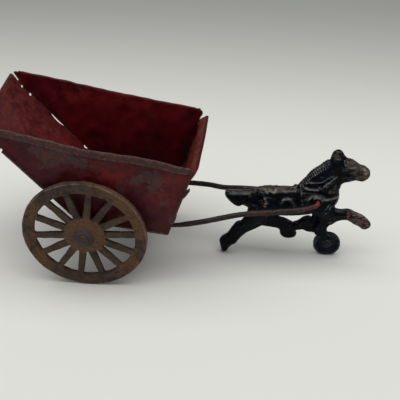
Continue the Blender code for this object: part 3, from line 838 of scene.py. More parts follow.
@dataclass(frozen=True)
class WornEnamel:
    """Old red enamel on sheet steel: mottled maroon, rust showing through, bare grey metal where it rubbed.

    The mesh's values steer it: "wear_and_sheen" bares edges and gives the very edges a painted pale
    highlight,
    "rust" browns whole areas, "bare" places the large rubbed patches, "glow" is
    brighter red patches outside and painted light on the inner faces, "shade" is darker patches outside and
    painted shade inside the box and along the front lip, and "inner_bounce_tint" paints the inner faces a
    deep crimson that stands for red light bouncing inside the box.
    """

    name: str
    deep: tuple = tone(46, 12, 18)
    paint: tuple = tone(80, 22, 28)
    # bright: brighter red patches outside, and painted light on the inner faces.
    bright: tuple = tone(114, 30, 33)
    # crimson and dark_crimson paint the inner faces as lit by red light bouncing inside the box; gloom is
    # their painted shade.
    crimson: tuple = tone(96, 14, 22)
    dark_crimson: tuple = tone(64, 10, 17)
    gloom: tuple = tone(34, 10, 14)
    rust: tuple = tone(98, 50, 38)
    orange: tuple = tone(128, 62, 38)
    bare: tuple = tone(74, 62, 57)
    grey: tuple = tone(62, 47, 49)
    pale: tuple = tone(142, 122, 106)

    def build(self) -> Material:
        """Build the material: enamel tones, the inner faces' painted crimson bounce, brighter red and painted
        light, darker patches and painted shade, then rust, then bare metal, then pale scratches and a painted
        pale highlight on the very edges.

        Returns:
            The material.
        """
        g = Graph(self.name)
        broad = g.noise(26.0, 3.0, 0.55)
        mottle = g.noise(7.0, 6.0, 0.68, shift=0.31, warp=0.4)
        grain = g.noise(3.0, 5.0, 0.7, shift=0.53, warp=0.2)
        fine = g.noise(1.3, 5.0, 0.7, shift=0.77)
        colour = g.mix(g.ramp(mottle, 0.32, 0.66), self.deep, self.paint)
        colour = g.mix(g.ramp(broad, 0.42, 0.62) * 0.5, colour, self.paint)
        # Inner faces: a crimson tint painted for bounced red light; then brighter red, partly painted light,
        # and a darker colour, partly painted shade.
        inside = g.mix(g.ramp(broad + mottle * 0.4, 0.52, 0.82), self.dark_crimson, self.crimson)
        colour = g.mix(g.value("inner_bounce_tint"), colour, inside)
        colour = g.mix(g.value("glow") * g.ramp(mottle, 0.3, 0.62), colour, self.bright)
        colour = g.mix(g.value("shade"), colour, g.mix(g.value("inner_bounce_tint"), self.deep, self.gloom))
        brown_share = g.ramp(g.value("rust") + (grain - 0.5), 0.12, 0.85)
        rusts = g.mix(g.ramp(mottle, 0.4, 0.6), self.paint, self.orange)
        colour = g.mix(brown_share, colour, g.mix(g.ramp(fine, 0.4, 0.64), self.rust, rusts))
        edge = g.value("wear_and_sheen") + (grain - 0.5) * 1.5
        rubbed = g.value("bare") + (mottle - 0.52) * 2.4
        flecks = g.ramp(fine + broad * 0.35, 0.78, 0.86)
        open_air = g.math("SUBTRACT", 1.0, g.value("inner_bounce_tint") * 0.8)
        bared = g.ramp(edge, 0.34, 0.62) | g.ramp(rubbed, 0.38, 0.70) | flecks * 0.55 * open_air
        metal = g.mix(g.ramp(fine, 0.36, 0.64), self.grey, self.bare)
        metal = g.mix(g.ramp(grain, 0.46, 0.68), metal, self.rust)
        metal = g.mix(g.ramp(grain, 0.36, 0.50), self.grey, metal)
        colour = g.mix(bared * 0.9, colour, metal)
        # Painted highlight: the very edges turn pale, as worn metal and as an edge that catches the light;
        # the scuffs are pale scratches in the bared metal.
        pale_wear_and_highlight = g.ramp(g.value("wear_and_sheen"), 0.8, 1.0) * g.ramp(fine, 0.42, 0.6)
        scuffs = bared * g.ramp(fine, 0.60, 0.72)
        colour = g.mix((pale_wear_and_highlight | scuffs) * 0.42, colour, self.pale)
        roughness = g.blend(bared, g.blend(g.ramp(mottle, 0.35, 0.65), 0.38, 0.58), 0.6)
        bumps = [(mottle, 0.22), (grain, 0.16), (fine, 0.10), (bared, -0.05)]
        return g.finish(colour, roughness, bared * 0.15, bumps, 0.14)


@dataclass(frozen=True)
class RustedIron:
    """Rusted grey-brown casting with orange rust in patches and lighter metal along its edges, worn and
    painted as a highlight.
    """

    name: str
    iron: tuple = tone(74, 58, 50)
    dark: tuple = tone(46, 37, 34)
    orange: tuple = tone(116, 76, 42)
    moss: tuple = tone(70, 61, 44)
    plum: tuple = tone(64, 54, 57)
    worn: tuple = tone(130, 112, 94)

    def build(self) -> Material:
        """Build the material: iron, mossy grey, orange patches, dark hollows and lighter edges, worn and
        painted as a highlight.

        Returns:
            The material.
        """
        g = Graph(self.name)
        broad = g.noise(21.0, 4.0, 0.6, shift=0.13)
        mottle = g.noise(5.0, 7.0, 0.72, shift=0.57, warp=0.5)
        fine = g.noise(1.1, 5.0, 0.72, shift=0.91)
        colour = g.mix(g.ramp(mottle, 0.36, 0.58), self.dark, self.iron)
        colour = g.mix(g.ramp(broad, 0.5, 0.62) * 0.75, colour, self.moss)
        colour = g.mix(g.value("plum"), colour, self.plum)
        rusty = g.ramp(g.value("rust") + broad + mottle * 0.8, 0.88, 1.12)
        colour = g.mix(rusty * 0.85, colour, g.mix(g.ramp(fine, 0.4, 0.62), self.iron, self.orange))
        colour = g.mix(g.value("hollow") * 0.8, colour, self.dark)
        edge = g.ramp(g.value("wear_and_sheen") + (mottle - 0.5) * 1.3, 0.5, 0.9)
        colour = g.mix(edge * 0.5, colour, self.worn)
        colour = g.mix(g.ramp(fine, 0.62, 0.74) * 0.4, colour, self.worn)
        roughness = g.blend(edge, g.blend(mottle, 0.55, 0.85), 0.45)
        return g.finish(colour, roughness, 0.1, [(mottle, 0.40), (fine, 0.22)], 0.2)


@dataclass(frozen=True)
class HorseEnamel:
    """Blue-black enamel on a casting, worn through to brown and cream on the high spots, with a painted slate
    sheen and painted highlights on raised and upward faces and painted shade in hollows.
    """

    name: str
    navy: tuple = tone(3, 7, 20)
    black: tuple = tone(4, 4, 5)
    # Painted highlight: the slate sheen colour.
    sheen_slate: tuple = tone(76, 82, 86)
    brown: tuple = tone(68, 59, 49)
    mauve: tuple = tone(84, 74, 72)
    cream: tuple = tone(152, 148, 138)
    pink: tuple = tone(98, 66, 58)

    def build(self) -> Material:
        """Build the material: navy to black, a painted slate sheen, brown wear and painted highlight, pinkish
        rust, pale ridges of wear and painted highlight, then painted black shade.

        Returns:
            The material.
        """
        g = Graph(self.name)
        broad = g.noise(11.0, 3.0, 0.55, shift=0.23)
        mottle = g.noise(2.8, 6.0, 0.7, shift=0.41, warp=0.5)
        drawn = g.noise(2.0, 5.0, 0.7, (0.35, 1.0, 1.3), 0.07, 0.8)
        fine = g.noise(0.8, 4.0, 0.7, shift=0.83)
        colour = g.mix(g.ramp(broad, 0.44, 0.58), self.black, self.navy)
        # Painted sheen: slate grey in drawn streaks, more where painted_sheen is high.
        colour = g.mix(g.ramp(drawn + g.value("painted_sheen") * 0.3, 0.54, 0.80) * 0.75, colour, self.sheen_slate)
        chance = (mottle + drawn - 1) * 1.9
        # The worn tone shows where the enamel wore, and on upward faces as a painted highlight.
        worn = g.mix(g.ramp(drawn, 0.42, 0.6), self.brown, self.mauve)
        worn = g.mix(g.ramp(fine, 0.56, 0.72), worn, self.cream)
        brown_share = g.ramp(g.value("wear_and_sheen") + chance, 0.35, 0.85)
        colour = g.mix(brown_share * 0.75, colour, worn)
        rust = g.mix(g.ramp(drawn, 0.45, 0.6), self.brown, self.cream)
        rust = g.mix(g.ramp(fine, 0.46, 0.62), self.pink, rust)
        colour = g.mix(g.ramp(g.value("rust") + chance, 0.35, 0.8) * 0.85, colour, rust)
        # Pale cream on straps, mane and nostril: worn relief and painted highlight.
        colour = g.mix(g.ramp(g.value("ridge") + chance, 0.45, 1.2) * 0.56, colour, self.cream)
        # Painted shade: hollows, and on the horse its downward faces, go black.
        colour = g.mix(g.value("hollow") * 0.85, colour, self.black)
        roughness = g.blend(brown_share, g.blend(mottle, 0.18, 0.42), 0.55)
        return g.finish(colour, roughness, 0.0, [(mottle, 0.34), (drawn, 0.28), (fine, 0.08)], 0.07)


@dataclass(frozen=True)
class WireFinish:
    """Steel wire with what is left of its red enamel, drawn out along its length."""

    name: str
    dark: tuple = tone(28, 23, 22)
    red: tuple = tone(78, 34, 33)
    steel: tuple = tone(104, 86, 80)
    knob: tuple = tone(104, 36, 33)

    def build(self) -> Material:
        """Build the material: dark steel, red remnants and rubbed bright streaks.

        Returns:
            The material.
        """
        g = Graph(self.name)
        streak = g.noise(1.9, 5.0, 0.65, (0.16, 1.0, 1.0), 0.19)
        fine = g.noise(0.7, 4.0, 0.7, (0.3, 1.0, 1.0), 0.63)
        colour = g.mix(g.ramp(streak + g.value("red"), 0.46, 0.66), self.dark, self.red)
        colour = g.mix(g.ramp(fine, 0.52, 0.68) * 0.5, colour, self.steel)
        colour = g.mix(g.value("knob"), colour, self.knob)
        roughness = g.blend(g.ramp(streak, 0.4, 0.6), 0.38, 0.62)
        return g.finish(colour, roughness, 0.1, [(streak, 0.16), (fine, 0.10)], 0.24)


@dataclass(frozen=True)
class RubbedSteel:
    """Rusty steel whose touched faces were rubbed smooth."""

    name: str
    rust: tuple = tone(70, 50, 42)
    dark: tuple = tone(40, 33, 34)
    steel: tuple = tone(104, 94, 92)

    def build(self) -> Material:
        """Build the material: rust over dark steel, with scuffed bright spots.

        Returns:
            The material.
        """
        g = Graph(self.name)
        mottle = g.noise(2.6, 6.0, 0.7, shift=0.37, warp=0.3)
        fine = g.noise(0.7, 4.0, 0.7, shift=0.11)
        colour = g.mix(g.ramp(mottle, 0.4, 0.62), self.dark, self.rust)
        colour = g.mix(g.ramp(fine, 0.5, 0.68) * 0.5, colour, self.steel)
        roughness = g.blend(g.ramp(mottle, 0.4, 0.6), 0.4, 0.68)
        return g.finish(colour, roughness, 0.2, [(mottle, 0.16), (fine, 0.08)], 0.3)


@dataclass(frozen=True)
class Backdrop:
    """Matt white paper that lies pale under the toy and greys behind it: a painted falloff of the light."""

    name: str
    near: tuple = tone(214, 214, 210)
    middle: tuple = tone(216, 217, 212)
    far: tuple = tone(152, 153, 149)

    def build(self) -> Material:
        """Build the material: a grade of greys along y that paints the light's falloff, with a faint grain.

        Returns:
            The material.
        """
        g = Graph(self.name)
        back = g.node("ShaderNodeSeparateXYZ", "Y", {0: g.place})
        colour = g.mix(g.ramp(back, 0.0, 0.15), self.near, self.middle)
        colour = g.mix(g.ramp(back, 0.06, 0.50), colour, self.far)
        return g.finish(colour, 0.9, 0.0, [(g.noise(3.0), 0.02)], 0.2)


@dataclass
class Stage:
    """The photograph's setting: camera, lamp, sky and plain pale floor."""

    camera_at: tuple = (0.04688, -0.4450, 0.3608)
    azimuth_deg: float = 4.98
    elevation_deg: float = 35.59
    roll_deg: float = -0.04
    lens_mm: float = 72.0
    sky: float = 0.36
    sky_colour: tuple = (0.97, 0.99, 1.0, 1.0)
    key_watts: float = 12.6
    key_size: tuple = (1.7, 0.8)
    key_colour: tuple = (1.0, 0.99, 0.97)
    key_at: tuple = (-0.04, -0.02, 1.05)
    key_target: tuple = (0.0, 0.0, 0.03)
    floor_half: float = 6.0
    floor_points: int = 129

    def build(self) -> None:
        """Add everything and make the camera the scene's."""
        scene = bpy.context.scene
        scene.view_settings.view_transform = "Standard"
        self.place_camera(scene)
        self.light(scene)
        self.lay_floor()

    @staticmethod
    def add(name: str, data: bpy.types.ID, place: tuple, right: Array, up: Array,
            back: Array) -> bpy.types.Object:
        """Add a camera or lamp whose own axes point along three given directions.

        Args:
            name: of the object.
            data: the camera or lamp.
            place: where it stands, in metres.
            right, up, back: unit directions of its axes.

        Returns:
            The linked object.
        """
        holder = bpy.data.objects.new(name, data)
        turn = Matrix(np.stack([right, up, back], 1).tolist()).to_4x4()
        holder.matrix_world = Matrix.Translation(place) @ turn
        bpy.context.scene.collection.objects.link(holder)
        return holder

    def place_camera(self, scene: bpy.types.Scene) -> None:
        """Turn the camera to the photograph's azimuth, elevation and roll.

        Args:
            scene: that it belongs to.
        """
        a, e, r = np.radians((self.azimuth_deg, self.elevation_deg, self.roll_deg)).tolist()
        back = np.array([math.sin(a) * math.cos(e), -math.cos(a) * math.cos(e), math.sin(e)])
        right = np.array([math.cos(a), math.sin(a), 0.0])
        up = np.cross(back, right)
        right, up = right * math.cos(r) + up * math.sin(r), up * math.cos(r) - right * math.sin(r)
        lens = bpy.data.cameras.new("camera")
        lens.lens = self.lens_mm
        lens.clip_start = 0.01
        scene.camera = self.add("camera", lens, self.camera_at, right, up, back)

    def light(self, scene: bpy.types.Scene) -> None:
        """Light the toy with an even sky and one long lamp overhead, which smears the shadows sideways.

        Args:
            scene: that they belong to.
        """
        scene.world = bpy.data.worlds.new("sky")
        scene.world.use_nodes = True
        sky = scene.world.node_tree.nodes["Background"].inputs
        sky["Color"].default_value = self.sky_colour
        sky["Strength"].default_value = self.sky
        lamp = bpy.data.lights.new("window", "AREA")
        lamp.energy = self.key_watts
        lamp.shape = "RECTANGLE"
        lamp.size, lamp.size_y = self.key_size
        lamp.color = self.key_colour
        back = np.subtract(self.key_at, self.key_target)
        back /= np.linalg.norm(back)
        right = np.cross((0.0, 1.0, 0.0), back)
        right /= np.linalg.norm(right)
        self.add("window", lamp, self.key_at, right, np.cross(back, right), back)

    def lay_floor(self) -> None:
        """Lay the paper as a gently uneven sheet: a grid with a low ripple away from the toy."""
        across = np.linspace(-self.floor_half, self.floor_half, self.floor_points)
        x, y = np.meshgrid(across, across, indexing="ij")
        flat = np.stack([x.ravel() / MM - AXLE_X, y.ravel() / MM], 1)
        calm = unit(np.hypot(x, y).ravel() - 0.3)
        height = -0.02 - 0.4 * calm * (1 + ripple(flat, 640.0, 5))
        cells = grid_quads(self.floor_points, self.floor_points, False, False)[:, ::-1]
        sheet = Shape(np.column_stack([flat, height]), [cells])
        sheet.to_object("paper_floor", Backdrop("white_paper").build())


def settle(piece: bpy.types.Object, body: str, slot: Slot, *nodes: str) -> None:
    """Hand a finished piece to the frame and report it.

    Args:
        piece: the object.
        body: body that it moves with.
        slot: material slot of its finish; not used.
        nodes: CAD nodes that it stands for.
    """
    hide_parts(*nodes)
    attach(piece, body)
    LOG.info("%s: %d faces, rides on %s", piece.name, len(piece.data.polygons), body)


@dataclass
class CartWheel:
    """A cast cart wheel: flat rounded rim, fourteen spokes, hub flange and a boss.

    The wheel is made for the left side and mirrored for the right.
    """

    radius: float = 40.92
    rim_width: float = 7.8
    rim_inner_y: float = 42.5
    rim_outer_y: float = 46.5
    spokes: int = 14
    spoke_hub_half: float = 2.5
    spoke_rim_half: float = 2.0
    spoke_half_t: float = 1.45
    flange_r: float = 12.6
    turn_deg: float = 3.7
    boss_r: float = 7.4
    boss_outer_y: float = 51.0
    dome_r: float = 9.2
    nose_r: float = 4.4
    nose_inner_y: float = 37.5
    bore_r: float = 2.35
    voxel: float = 0.44

    def surface(self) -> Shape:
        """Model the casting as a blended solid.

        The rim is a rounded rectangle swept round, each spoke a rounded bar that tapers outwards, and
        the flange, boss and nose are discs; all are eased together as in a sand casting.

        Returns:
            The wheel about the axle, on the left side.
        """
        reach = self.radius + 1.5
        low, high = (-reach, self.nose_inner_y - 1.5, -reach), (reach, self.boss_outer_y + 1.5, reach)
        block = SolidField(low, high, self.voxel)
        spans, (x, y, z) = block.around()
        r = np.hypot(x, z)
        middle = (self.rim_inner_y + self.rim_outer_y) / 2
        half_t = (self.rim_outer_y - self.rim_inner_y) / 2
        pitch = 2 * math.pi / self.spokes
        angle = np.arctan2(z, x) - math.radians(self.turn_deg)
        folded = (angle + pitch / 2) % pitch - pitch / 2
        along, across = r * np.cos(folded), r * np.sin(folded)
        share = unit((along - self.flange_r) / (self.radius - self.rim_width - self.flange_r))
        tip = self.spoke_rim_half
        half = self.spoke_hub_half + (tip - self.spoke_hub_half) * share
        bar = round_box(across / half * tip, y - middle, tip, self.spoke_half_t, 0.7)
        ends = np.maximum(self.flange_r - 4 - along, along - self.radius + self.rim_width / 2)
        block.blend(spans, np.maximum(bar, ends), 0.01)
        rim = round_box(r - self.radius + self.rim_width / 2, y - middle, self.rim_width / 2, half_t, 0.8)
        block.blend(spans, rim, 1.1)
        block.blend(spans, round_box(r, y - middle, self.flange_r, half_t - 0.15, 1.2), 2.2)
        dome = np.hypot(r, (y - middle) * self.dome_r / (self.boss_outer_y - 1.4 - middle)) - self.dome_r
        block.blend(spans, dome * 0.6, 2.0)
        boss_mid = (self.boss_outer_y + middle) / 2
        boss = round_box(r, y - boss_mid, self.boss_r - 1.6, self.boss_outer_y - boss_mid, 1.5)
        block.blend(spans, boss, 2.2)
        nose_mid = (self.nose_inner_y + middle) / 2
        block.blend(spans, round_box(r, y - nose_mid, self.nose_r, nose_mid - self.nose_inner_y, 0.6), 0.8)
        block.carve(r - self.bore_r)
        return block.surface()

    def finished(self, seed: int) -> Shape:
        """Roughen the casting and say where it rusts and wears, and where its rim's edge takes a painted
        highlight.

        Args:
            seed: picks the bumps, so the two wheels differ.

        Returns:
            The wheel in place on the left side.
        """
        shape = self.surface().roughened(0.06, 9.0, seed).roughened(0.03, 3.0, seed + 1)
        x, y, z = shape.points.T
        r = np.hypot(x, z)
        hub = bell(np.maximum(r - self.boss_r - 3, 0.0), 4.5) * (r > self.boss_r - 0.5)
        angle = np.arctan2(z, x)
        patches = 0.5 + 0.5 * np.sin(angle * 2 + 1.2 + 0.6 * np.sin(angle * 5))
        rim = r > self.radius - self.rim_width - 0.6
        shape.values["rust"] = 0.34 * hub + 0.14 * patches * rim - 0.12 * (~rim) * (r > self.flange_r + 1)
        # The rim's outer edge is lighter all round: worn metal and a painted edge highlight.
        shape.values["wear_and_sheen"] = bell(self.radius - 0.5 - r, 0.7) * (y > self.rim_outer_y - 1) * 0.8
        shape.values["plum"] = np.clip(1.5 - r / self.boss_r, 0.0, 0.85) * (y > self.rim_outer_y)
        shape.values["hollow"] = bell(r - self.boss_r, 1.2) * (y < self.boss_outer_y - 1) * 0.25
        return shape.moved(z=AXLE_Z).grounded()

    def build(self) -> None:
        """Make both wheels."""
        finish = RustedIron("rusted_wheel_iron").build()
        for seed, side in enumerate(Side):
            shape = self.finished(20 + 7 * seed).on_side(side)
            piece = shape.to_object(f"{side.label}_wheel_casting", finish, 60.0)
            settle(piece, f"cart_wheel_{side.label}", Slot.WHEEL, f"cart_wheel_{side.label}")


@dataclass
class CartBox:
    """The tipping box: one folded sheet for front, floor and tail, and two hemmed side panels.

    line is the sheet's outer side, from the front lip to the tail. Dents are rows of (x, width, depth
    outwards), and rubs, reds and darks are rows for spot() on the panels' outer faces.
    """

    line: tuple = ((73.5, 91.0), (68.5, 83.0), (53.6, 39.5), (-5.5, 47.6), (-62.12, 113.51))
    bends: tuple = (9.0, 1.7, 2.4)
    sheet_t: float = 0.8
    half_w: float = 39.0
    panel_y: float = 37.7
    panel_t: float = 0.7
    gap: float = 0.14
    rear_top: tuple = (-60.3, 115.1)
    front_top: tuple = (71.1, 90.7)
    left_front_more: tuple = (0.8, -0.3)
    tail_free_z: float = 105.5
    front_free_z: float = 84.4
    rear_r: float = 0.8
    front_r: float = 3.0
    hem_h: float = 4.2
    hem_r: float = 0.4
    hem_rear_in: float = 3.5
    hem_rear_slant: float = 3.0
    hem_front_in: float = 3.7
    tail_tabs: tuple = (28.0, 70.9)
    front_tabs: tuple = (11.5, 34.5)
    tab_half_w: float = 3.2
    tab_fold: float = 4.0
    tab_bend_r: float = 0.5
    notch_y: float = 36.95
    dot_r: float = 0.95
    dot_reach: float = 3.9
    dot_y: float = 36.3
    slits: tuple = ((9.0, 14.8), (33.8, 47.8))
    slit_y: tuple = (35.4, 35.9)
    slot_from: float = 78.8
    slot_y: float = 36.7
    tail_lean: float = 2.1
    front_lean: float = 1.7
    lip_r: float = 5.0
    lip_cut: tuple = (12.0, 6.6)
    lip_droop_deg: float = 9.5
    lip_bend: float = 4.0
    tail_r: float = 2.0
    rivet_bore_r: float = 1.45
    spacing: float = 1.25
    right_dents: tuple = ((1, 19, 2.1), (41, 13, -1.3), (-45, 16, -0.8))
    left_dents: tuple = ((-32, 13, 0.3), (10, 24, -1.3), (43, 14, -0.9))
    rubs: tuple = (
        (-8, 97, 13, 8, 0.85), (-30, 101, 12, 4.5, 0.6), (3, 90, 6, 7, 0.6), (44, 84, 6.5, 5, 0.85),
        (32, 81, 5, 4, 0.7), (57, 78, 5, 7, 0.2), (56, 50, 3, 9, 0.55), (-22, 90, 9, 8, 0.5),
        (40, 66, 12, 12, 0.28), (20, 76, 8, 8, 0.5), (46, 76, 8, 7, 0.58), (67, 88.5, 4.5, 3, 0.9),
        (52, 64, 6, 7, 0.4))
    reds: tuple = (
        (18, 83, 14, 6, 0.8), (50, 70, 9, 10, 0.8), (-2, 80, 16, 6, 0.35), (18, 74, 9, 7, 0.4),
        (60, 84, 8, 4, 0.6))
    darks: tuple = ((44, 52, 9, 5, 0.7), (-10, 73, 14, 7, 0.5), (30, 60, 8, 12, 0.4))

    def ways(self, start: int, end: int) -> tuple[Array, Array]:
        """Return a corner of the side line and the unit direction to another."""
        one, two = np.array(self.line[start]), np.array(self.line[end])
        return one, (two - one) / np.linalg.norm(two - one)

    def edge(self, tail: bool) -> tuple[Array, Array, Array]:
        """Return the foot of the tail or the front, the direction up it and the normal out of it."""
        corner, way = self.ways(3, 4) if tail else self.ways(2, 1)
        return corner, way, (-1.0 if tail else 1.0) * np.array([way[1], -way[0]])

    def tab_places(self) -> list[tuple[Array, Array, Array]]:
        """List the tabs, two up the front and two up the tail.

        Returns:
            For each, a point on the sheet's outer line, the direction along it and the normal out of it.
        """
        places = []
        for tail, distances in ((False, self.front_tabs), (True, self.tail_tabs)):
            corner, way, normal = self.edge(tail)
            places += [(corner + way * distance, way, normal) for distance in distances]
        return places

    def rivet_spots(self) -> dict[str, Array]:
        """Find where the pairs of floor rivets meet the floor's outer line.

        Returns:
            Side-view points by place.
        """
        knee, way = self.ways(3, 2)
        foot = ((0.0, AXLE_Z) - knee) @ way
        return {place: knee + way * (foot + along) for place, along in FLOOR_RIVETS.items()}

    def offset(self, distance: float) -> Array:
        """Shift the side line inwards, its corners mitred.

        Args:
            distance: how far, in millimetres.

        Returns:
            The shifted corners.
        """
        points = np.array(self.line)
        runs = np.diff(points, axis=0)
        runs /= np.linalg.norm(runs, axis=1)[:, None]
        normals = np.stack([runs[:, 1], -runs[:, 0]], 1)
        first, last = np.vstack([normals[:1], normals]), np.vstack([normals, normals[-1:]])
        middle = first + last
        middle /= np.linalg.norm(middle, axis=1)[:, None]
        return points + middle * (distance / np.sum(middle * first, axis=1))[:, None]

    def lean(self, tail: bool, distance: Array) -> Array:
        """Say how far the sheet's left edge gave way outwards.

        Args:
            tail: whether it is the tail's edge or the front's.
            distance: from the knee, or from the front corner.

        Returns:
            Millimetres outwards.
        """
        if tail:
            return self.tail_lean * ease(distance / 9) * (1 - 0.95 * ease((distance - 72) / 14))
        return self.front_lean * ease(distance / 9) * (1 - ease((distance - 33) / 12))

    def droop(self, beyond: Array, v: Array) -> Array:
        """Say how far the front lip is bent down, more towards its left end.

        Args:
            beyond: distances past the lip's bend.
            v: place across the cart.

        Returns:
            Distances out of the sheet's outer face.
        """
        lip = np.maximum(beyond, 0.0)
        run = np.where(lip < self.lip_bend, lip * lip / (2 * self.lip_bend), lip - self.lip_bend / 2)
        return run * np.tan(math.radians(self.lip_droop_deg) * ease((v + 40) / 50))

    def sheet_shape(self) -> Shape:
        """Cut, bend and thicken the folded sheet.

        Its flat blank measures u along the side line's middle, from the front lip to the tail, and v
        across the cart. u is read back as a point and a normal of the rounded side line.

        Returns:
            The sheet, front face inwards, with its wear.
        """
        half = self.sheet_t / 2
        radii = [0.0, self.bends[0] + half, self.bends[1] - half, self.bends[2] - half, 0.0]
        path = resampled(rounded(self.offset(half), radii, 12.0), 0.1)
        steps = np.linalg.norm(np.diff(path, axis=0), axis=1)
        reach = np.concatenate([[0.0], np.cumsum(steps)])
        ways = np.gradient(path, reach, axis=0)
        ways /= np.linalg.norm(ways, axis=1)[:, None]

        def along(point: tuple | Array) -> float:
            """Find the arc length nearest to a side-view point."""
            return float(reach[np.argmin(np.hypot(*(path - point).T))])

        lip_u, front_u, tail_u = (along(corner) for corner in self.line[1:4])
        tabs = [along(point) for point, _, _ in self.tab_places()]
        right, left = (self.sheet_edge(tabs, float(reach[-1]), tail_u, side) for side in Side)
        outline = np.vstack([left, right[::-1] * (1.0, -1.0)])
        blank = SheetBlank(outline, self.rivet_holes(along), self.spacing, self.bend_rows(along))
        flat, triangles, rim = blank.cut()
        u, v = flat.T
        middle = np.stack([np.interp(u, reach, path[:, 0]), v, np.interp(u, reach, path[:, 1])], 1)
        way_x, way_z = np.interp(u, reach, ways[:, 0]), np.interp(u, reach, ways[:, 1])
        normal = np.stack([way_z, np.zeros_like(u), -way_x], 1)
        normal /= np.linalg.norm(normal, axis=1)[:, None]
        from_bend = np.minimum(np.abs(u - tail_u), np.abs(u - front_u))
        calm = unit((rim - 2.5) / 6) * unit(from_bend / 8)
        gave = self.lean(True, u - tail_u) + self.lean(False, front_u - u)
        sag = gave * ease((v + 14) / (self.half_w + 12))
        sag += self.droop(lip_u - u, v)
        middle += normal * (0.30 * calm * ripple(middle, 34.0, 11) - sag)[:, None]
        wear_and_sheen = self.sheet_wear_and_light(u - tail_u, front_u - u, v, rim)
        return SheetBlank.thickened(middle, normal, triangles, self.sheet_t, wear_and_sheen)

    def rivet_holes(self, along: Callable[[Array], float]) -> list[Array]:
        """Cut a hole for each of the brackets' rivets.

        Args:
            along: gives the arc length of a side-view point.

        Returns:
            Loops in the sheet's blank.
        """
        turn = np.linspace(0.0, 2 * math.pi, 17)[:-1]
        ring = self.rivet_bore_r * np.stack([np.cos(turn), np.sin(turn)], 1)
        return [ring + (along(spot), side.value * FLOOR_RIVET_Y) for spot in self.rivet_spots().values()
                for side in Side]

    def bend_rows(self, along: Callable[[Array], float]) -> Array:
        """Lay close rows of points across the sheet's three bends.

        Args:
            along: gives the arc length of a side-view point.

        Returns:
            Flat points, one row each.
        """
        grids = []
        for corner, spread in ((1, 7.0), (2, 2.0), (3, 2.0)):
            centre = along(self.line[corner])
            us = np.linspace(centre - spread, centre + spread, 9)
            vs = np.arange(-self.half_w + 1, self.half_w, self.spacing)
            grids.append(np.stack(np.meshgrid(us, vs, indexing="ij"), axis=2).reshape(-1, 2))
        return np.vstack(grids)

    @staticmethod
    def sheet_wear_and_light(on_tail: Array, on_front: Array, v: Array, rim: Array) -> dict[str, Array]:
        """Say where the sheet is worn, and where light and shade are painted on it: browner up the tail and
        most on the front, redder by the knee, the floor and knee in the inner faces' painted crimson bounce,
        and painted shade on the floor, at the front's foot and along the lip's edge.

        Args:
            on_tail, on_front: distances past the knee and past the front corner.
            v: place across the cart.
            rim: distance from the nearest cut edge.

        Returns:
            The values that its enamel reads.
        """
        is_tail, is_front = unit(on_tail / 3), unit(on_front / 3)
        near_knee = ease((46 - on_tail) / 40) * is_tail
        foot = ease((40 - on_front) / 26) * is_front
        lip = bell(on_front.max() - on_front, 1.5)
        rubbed = np.maximum(bell(rim, 0.8), 0.6 * bell(rim, 2.0))
        tail_rub = is_tail * bell(v - 10, 18.0) * ease((on_tail - 30) / 30)
        # Painted light and shade: "inner_bounce_tint" gives the floor and the knee the inside's crimson,
        # "glow" brightens the knee, and "shade" paints shade on the floor, at the front's foot and along the
        # lip's edge.
        return {
            "wear_and_sheen": rubbed * (1 - 0.9 * lip) * (1 - 0.45 * is_front),
            "rust": 0.1 + is_tail * (0.22 - 0.2 * near_knee) + is_front * (0.5 - 0.26 * foot) * (1 - lip),
            "glow": 0.50 * near_knee + 0.06 * is_tail + 0.15 * foot,
            "shade": 0.25 * (1 - is_tail) * (1 - is_front) + 0.7 * np.maximum(foot, lip),
            "bare": 0.05 + is_front * (0.32 - 0.22 * foot) + 0.16 * tail_rub,
            "inner_bounce_tint": 0.8 * (1 - is_front) * (1 - is_tail) + 0.35 * near_knee,
        }

    def sheet_edge(self, tabs: list[float], total: float, tail_u: float, side: Side) -> Array:
        """Outline one long edge of the sheet's blank: round corners, tab notches and relief holes.

        The left edge has also pulled away from its panel in two slits and a slot, where light shows.

        Args:
            tabs: arc lengths of the four tabs, two in front and two on the tail.
            total: arc length of the whole line.
            tail_u: arc length of the knee.
            side: which edge.

        Returns:
            Rows of (u, v) from the front lip to the tail, v positive.
        """
        half = self.tab_half_w + 0.3
        turn = np.linspace(0.0, math.pi / 2, 7)
        steps = [(u, [(-half, self.half_w), (-half, self.notch_y), (half, self.notch_y), (half, self.half_w)])
                 for u in tabs[:3]]
        bend = np.linspace(math.pi, 2 * math.pi, 9)
        low, high = ([(self.dot_r * math.cos(t) + reach, self.dot_y + self.dot_r * math.sin(t)) for t in bend]
                     for reach in (-self.dot_reach, self.dot_reach))
        steps.append((tabs[3], [(low[0][0], self.half_w), *low, (low[-1][0], self.notch_y),
                                (high[0][0], self.notch_y), *high, (high[-1][0], self.half_w)]))
        end_v = self.half_w
        lip = (0.0, self.half_w) + self.lip_r * np.stack([1 - np.cos(turn), np.sin(turn) - 1], 1)
        if side is Side.LEFT:
            share = np.linspace(0.0, 1.0, 13)
            for (start, end), slit_y in zip(self.slits, self.slit_y):
                depth = (self.half_w - slit_y) * np.sin(math.pi * share) ** 0.45
                steps.append((tail_u + start, list(zip((end - start) * share, self.half_w - depth))))
            steps.append((tail_u + self.slot_from, [(0.0, self.half_w), (0.9, self.slot_y)]))
            end_v = self.slot_y
            root = self.half_w - self.lip_cut[1]
            lip = np.array([(0.0, root - 3.4), (0.5, root - 2), (1.4, root - 0.9), (2.6, root),
                            (3.8, root + 0.7), (self.lip_cut[0], self.half_w)])
        tail = (total, end_v) - self.tail_r * np.stack([1 - np.sin(turn), 1 - np.cos(turn)], 1)
        cuts = [np.array(points) + (u, 0.0) for u, points in sorted(steps, key=lambda step: step[0])]
        return np.vstack([lip, *cuts, tail])

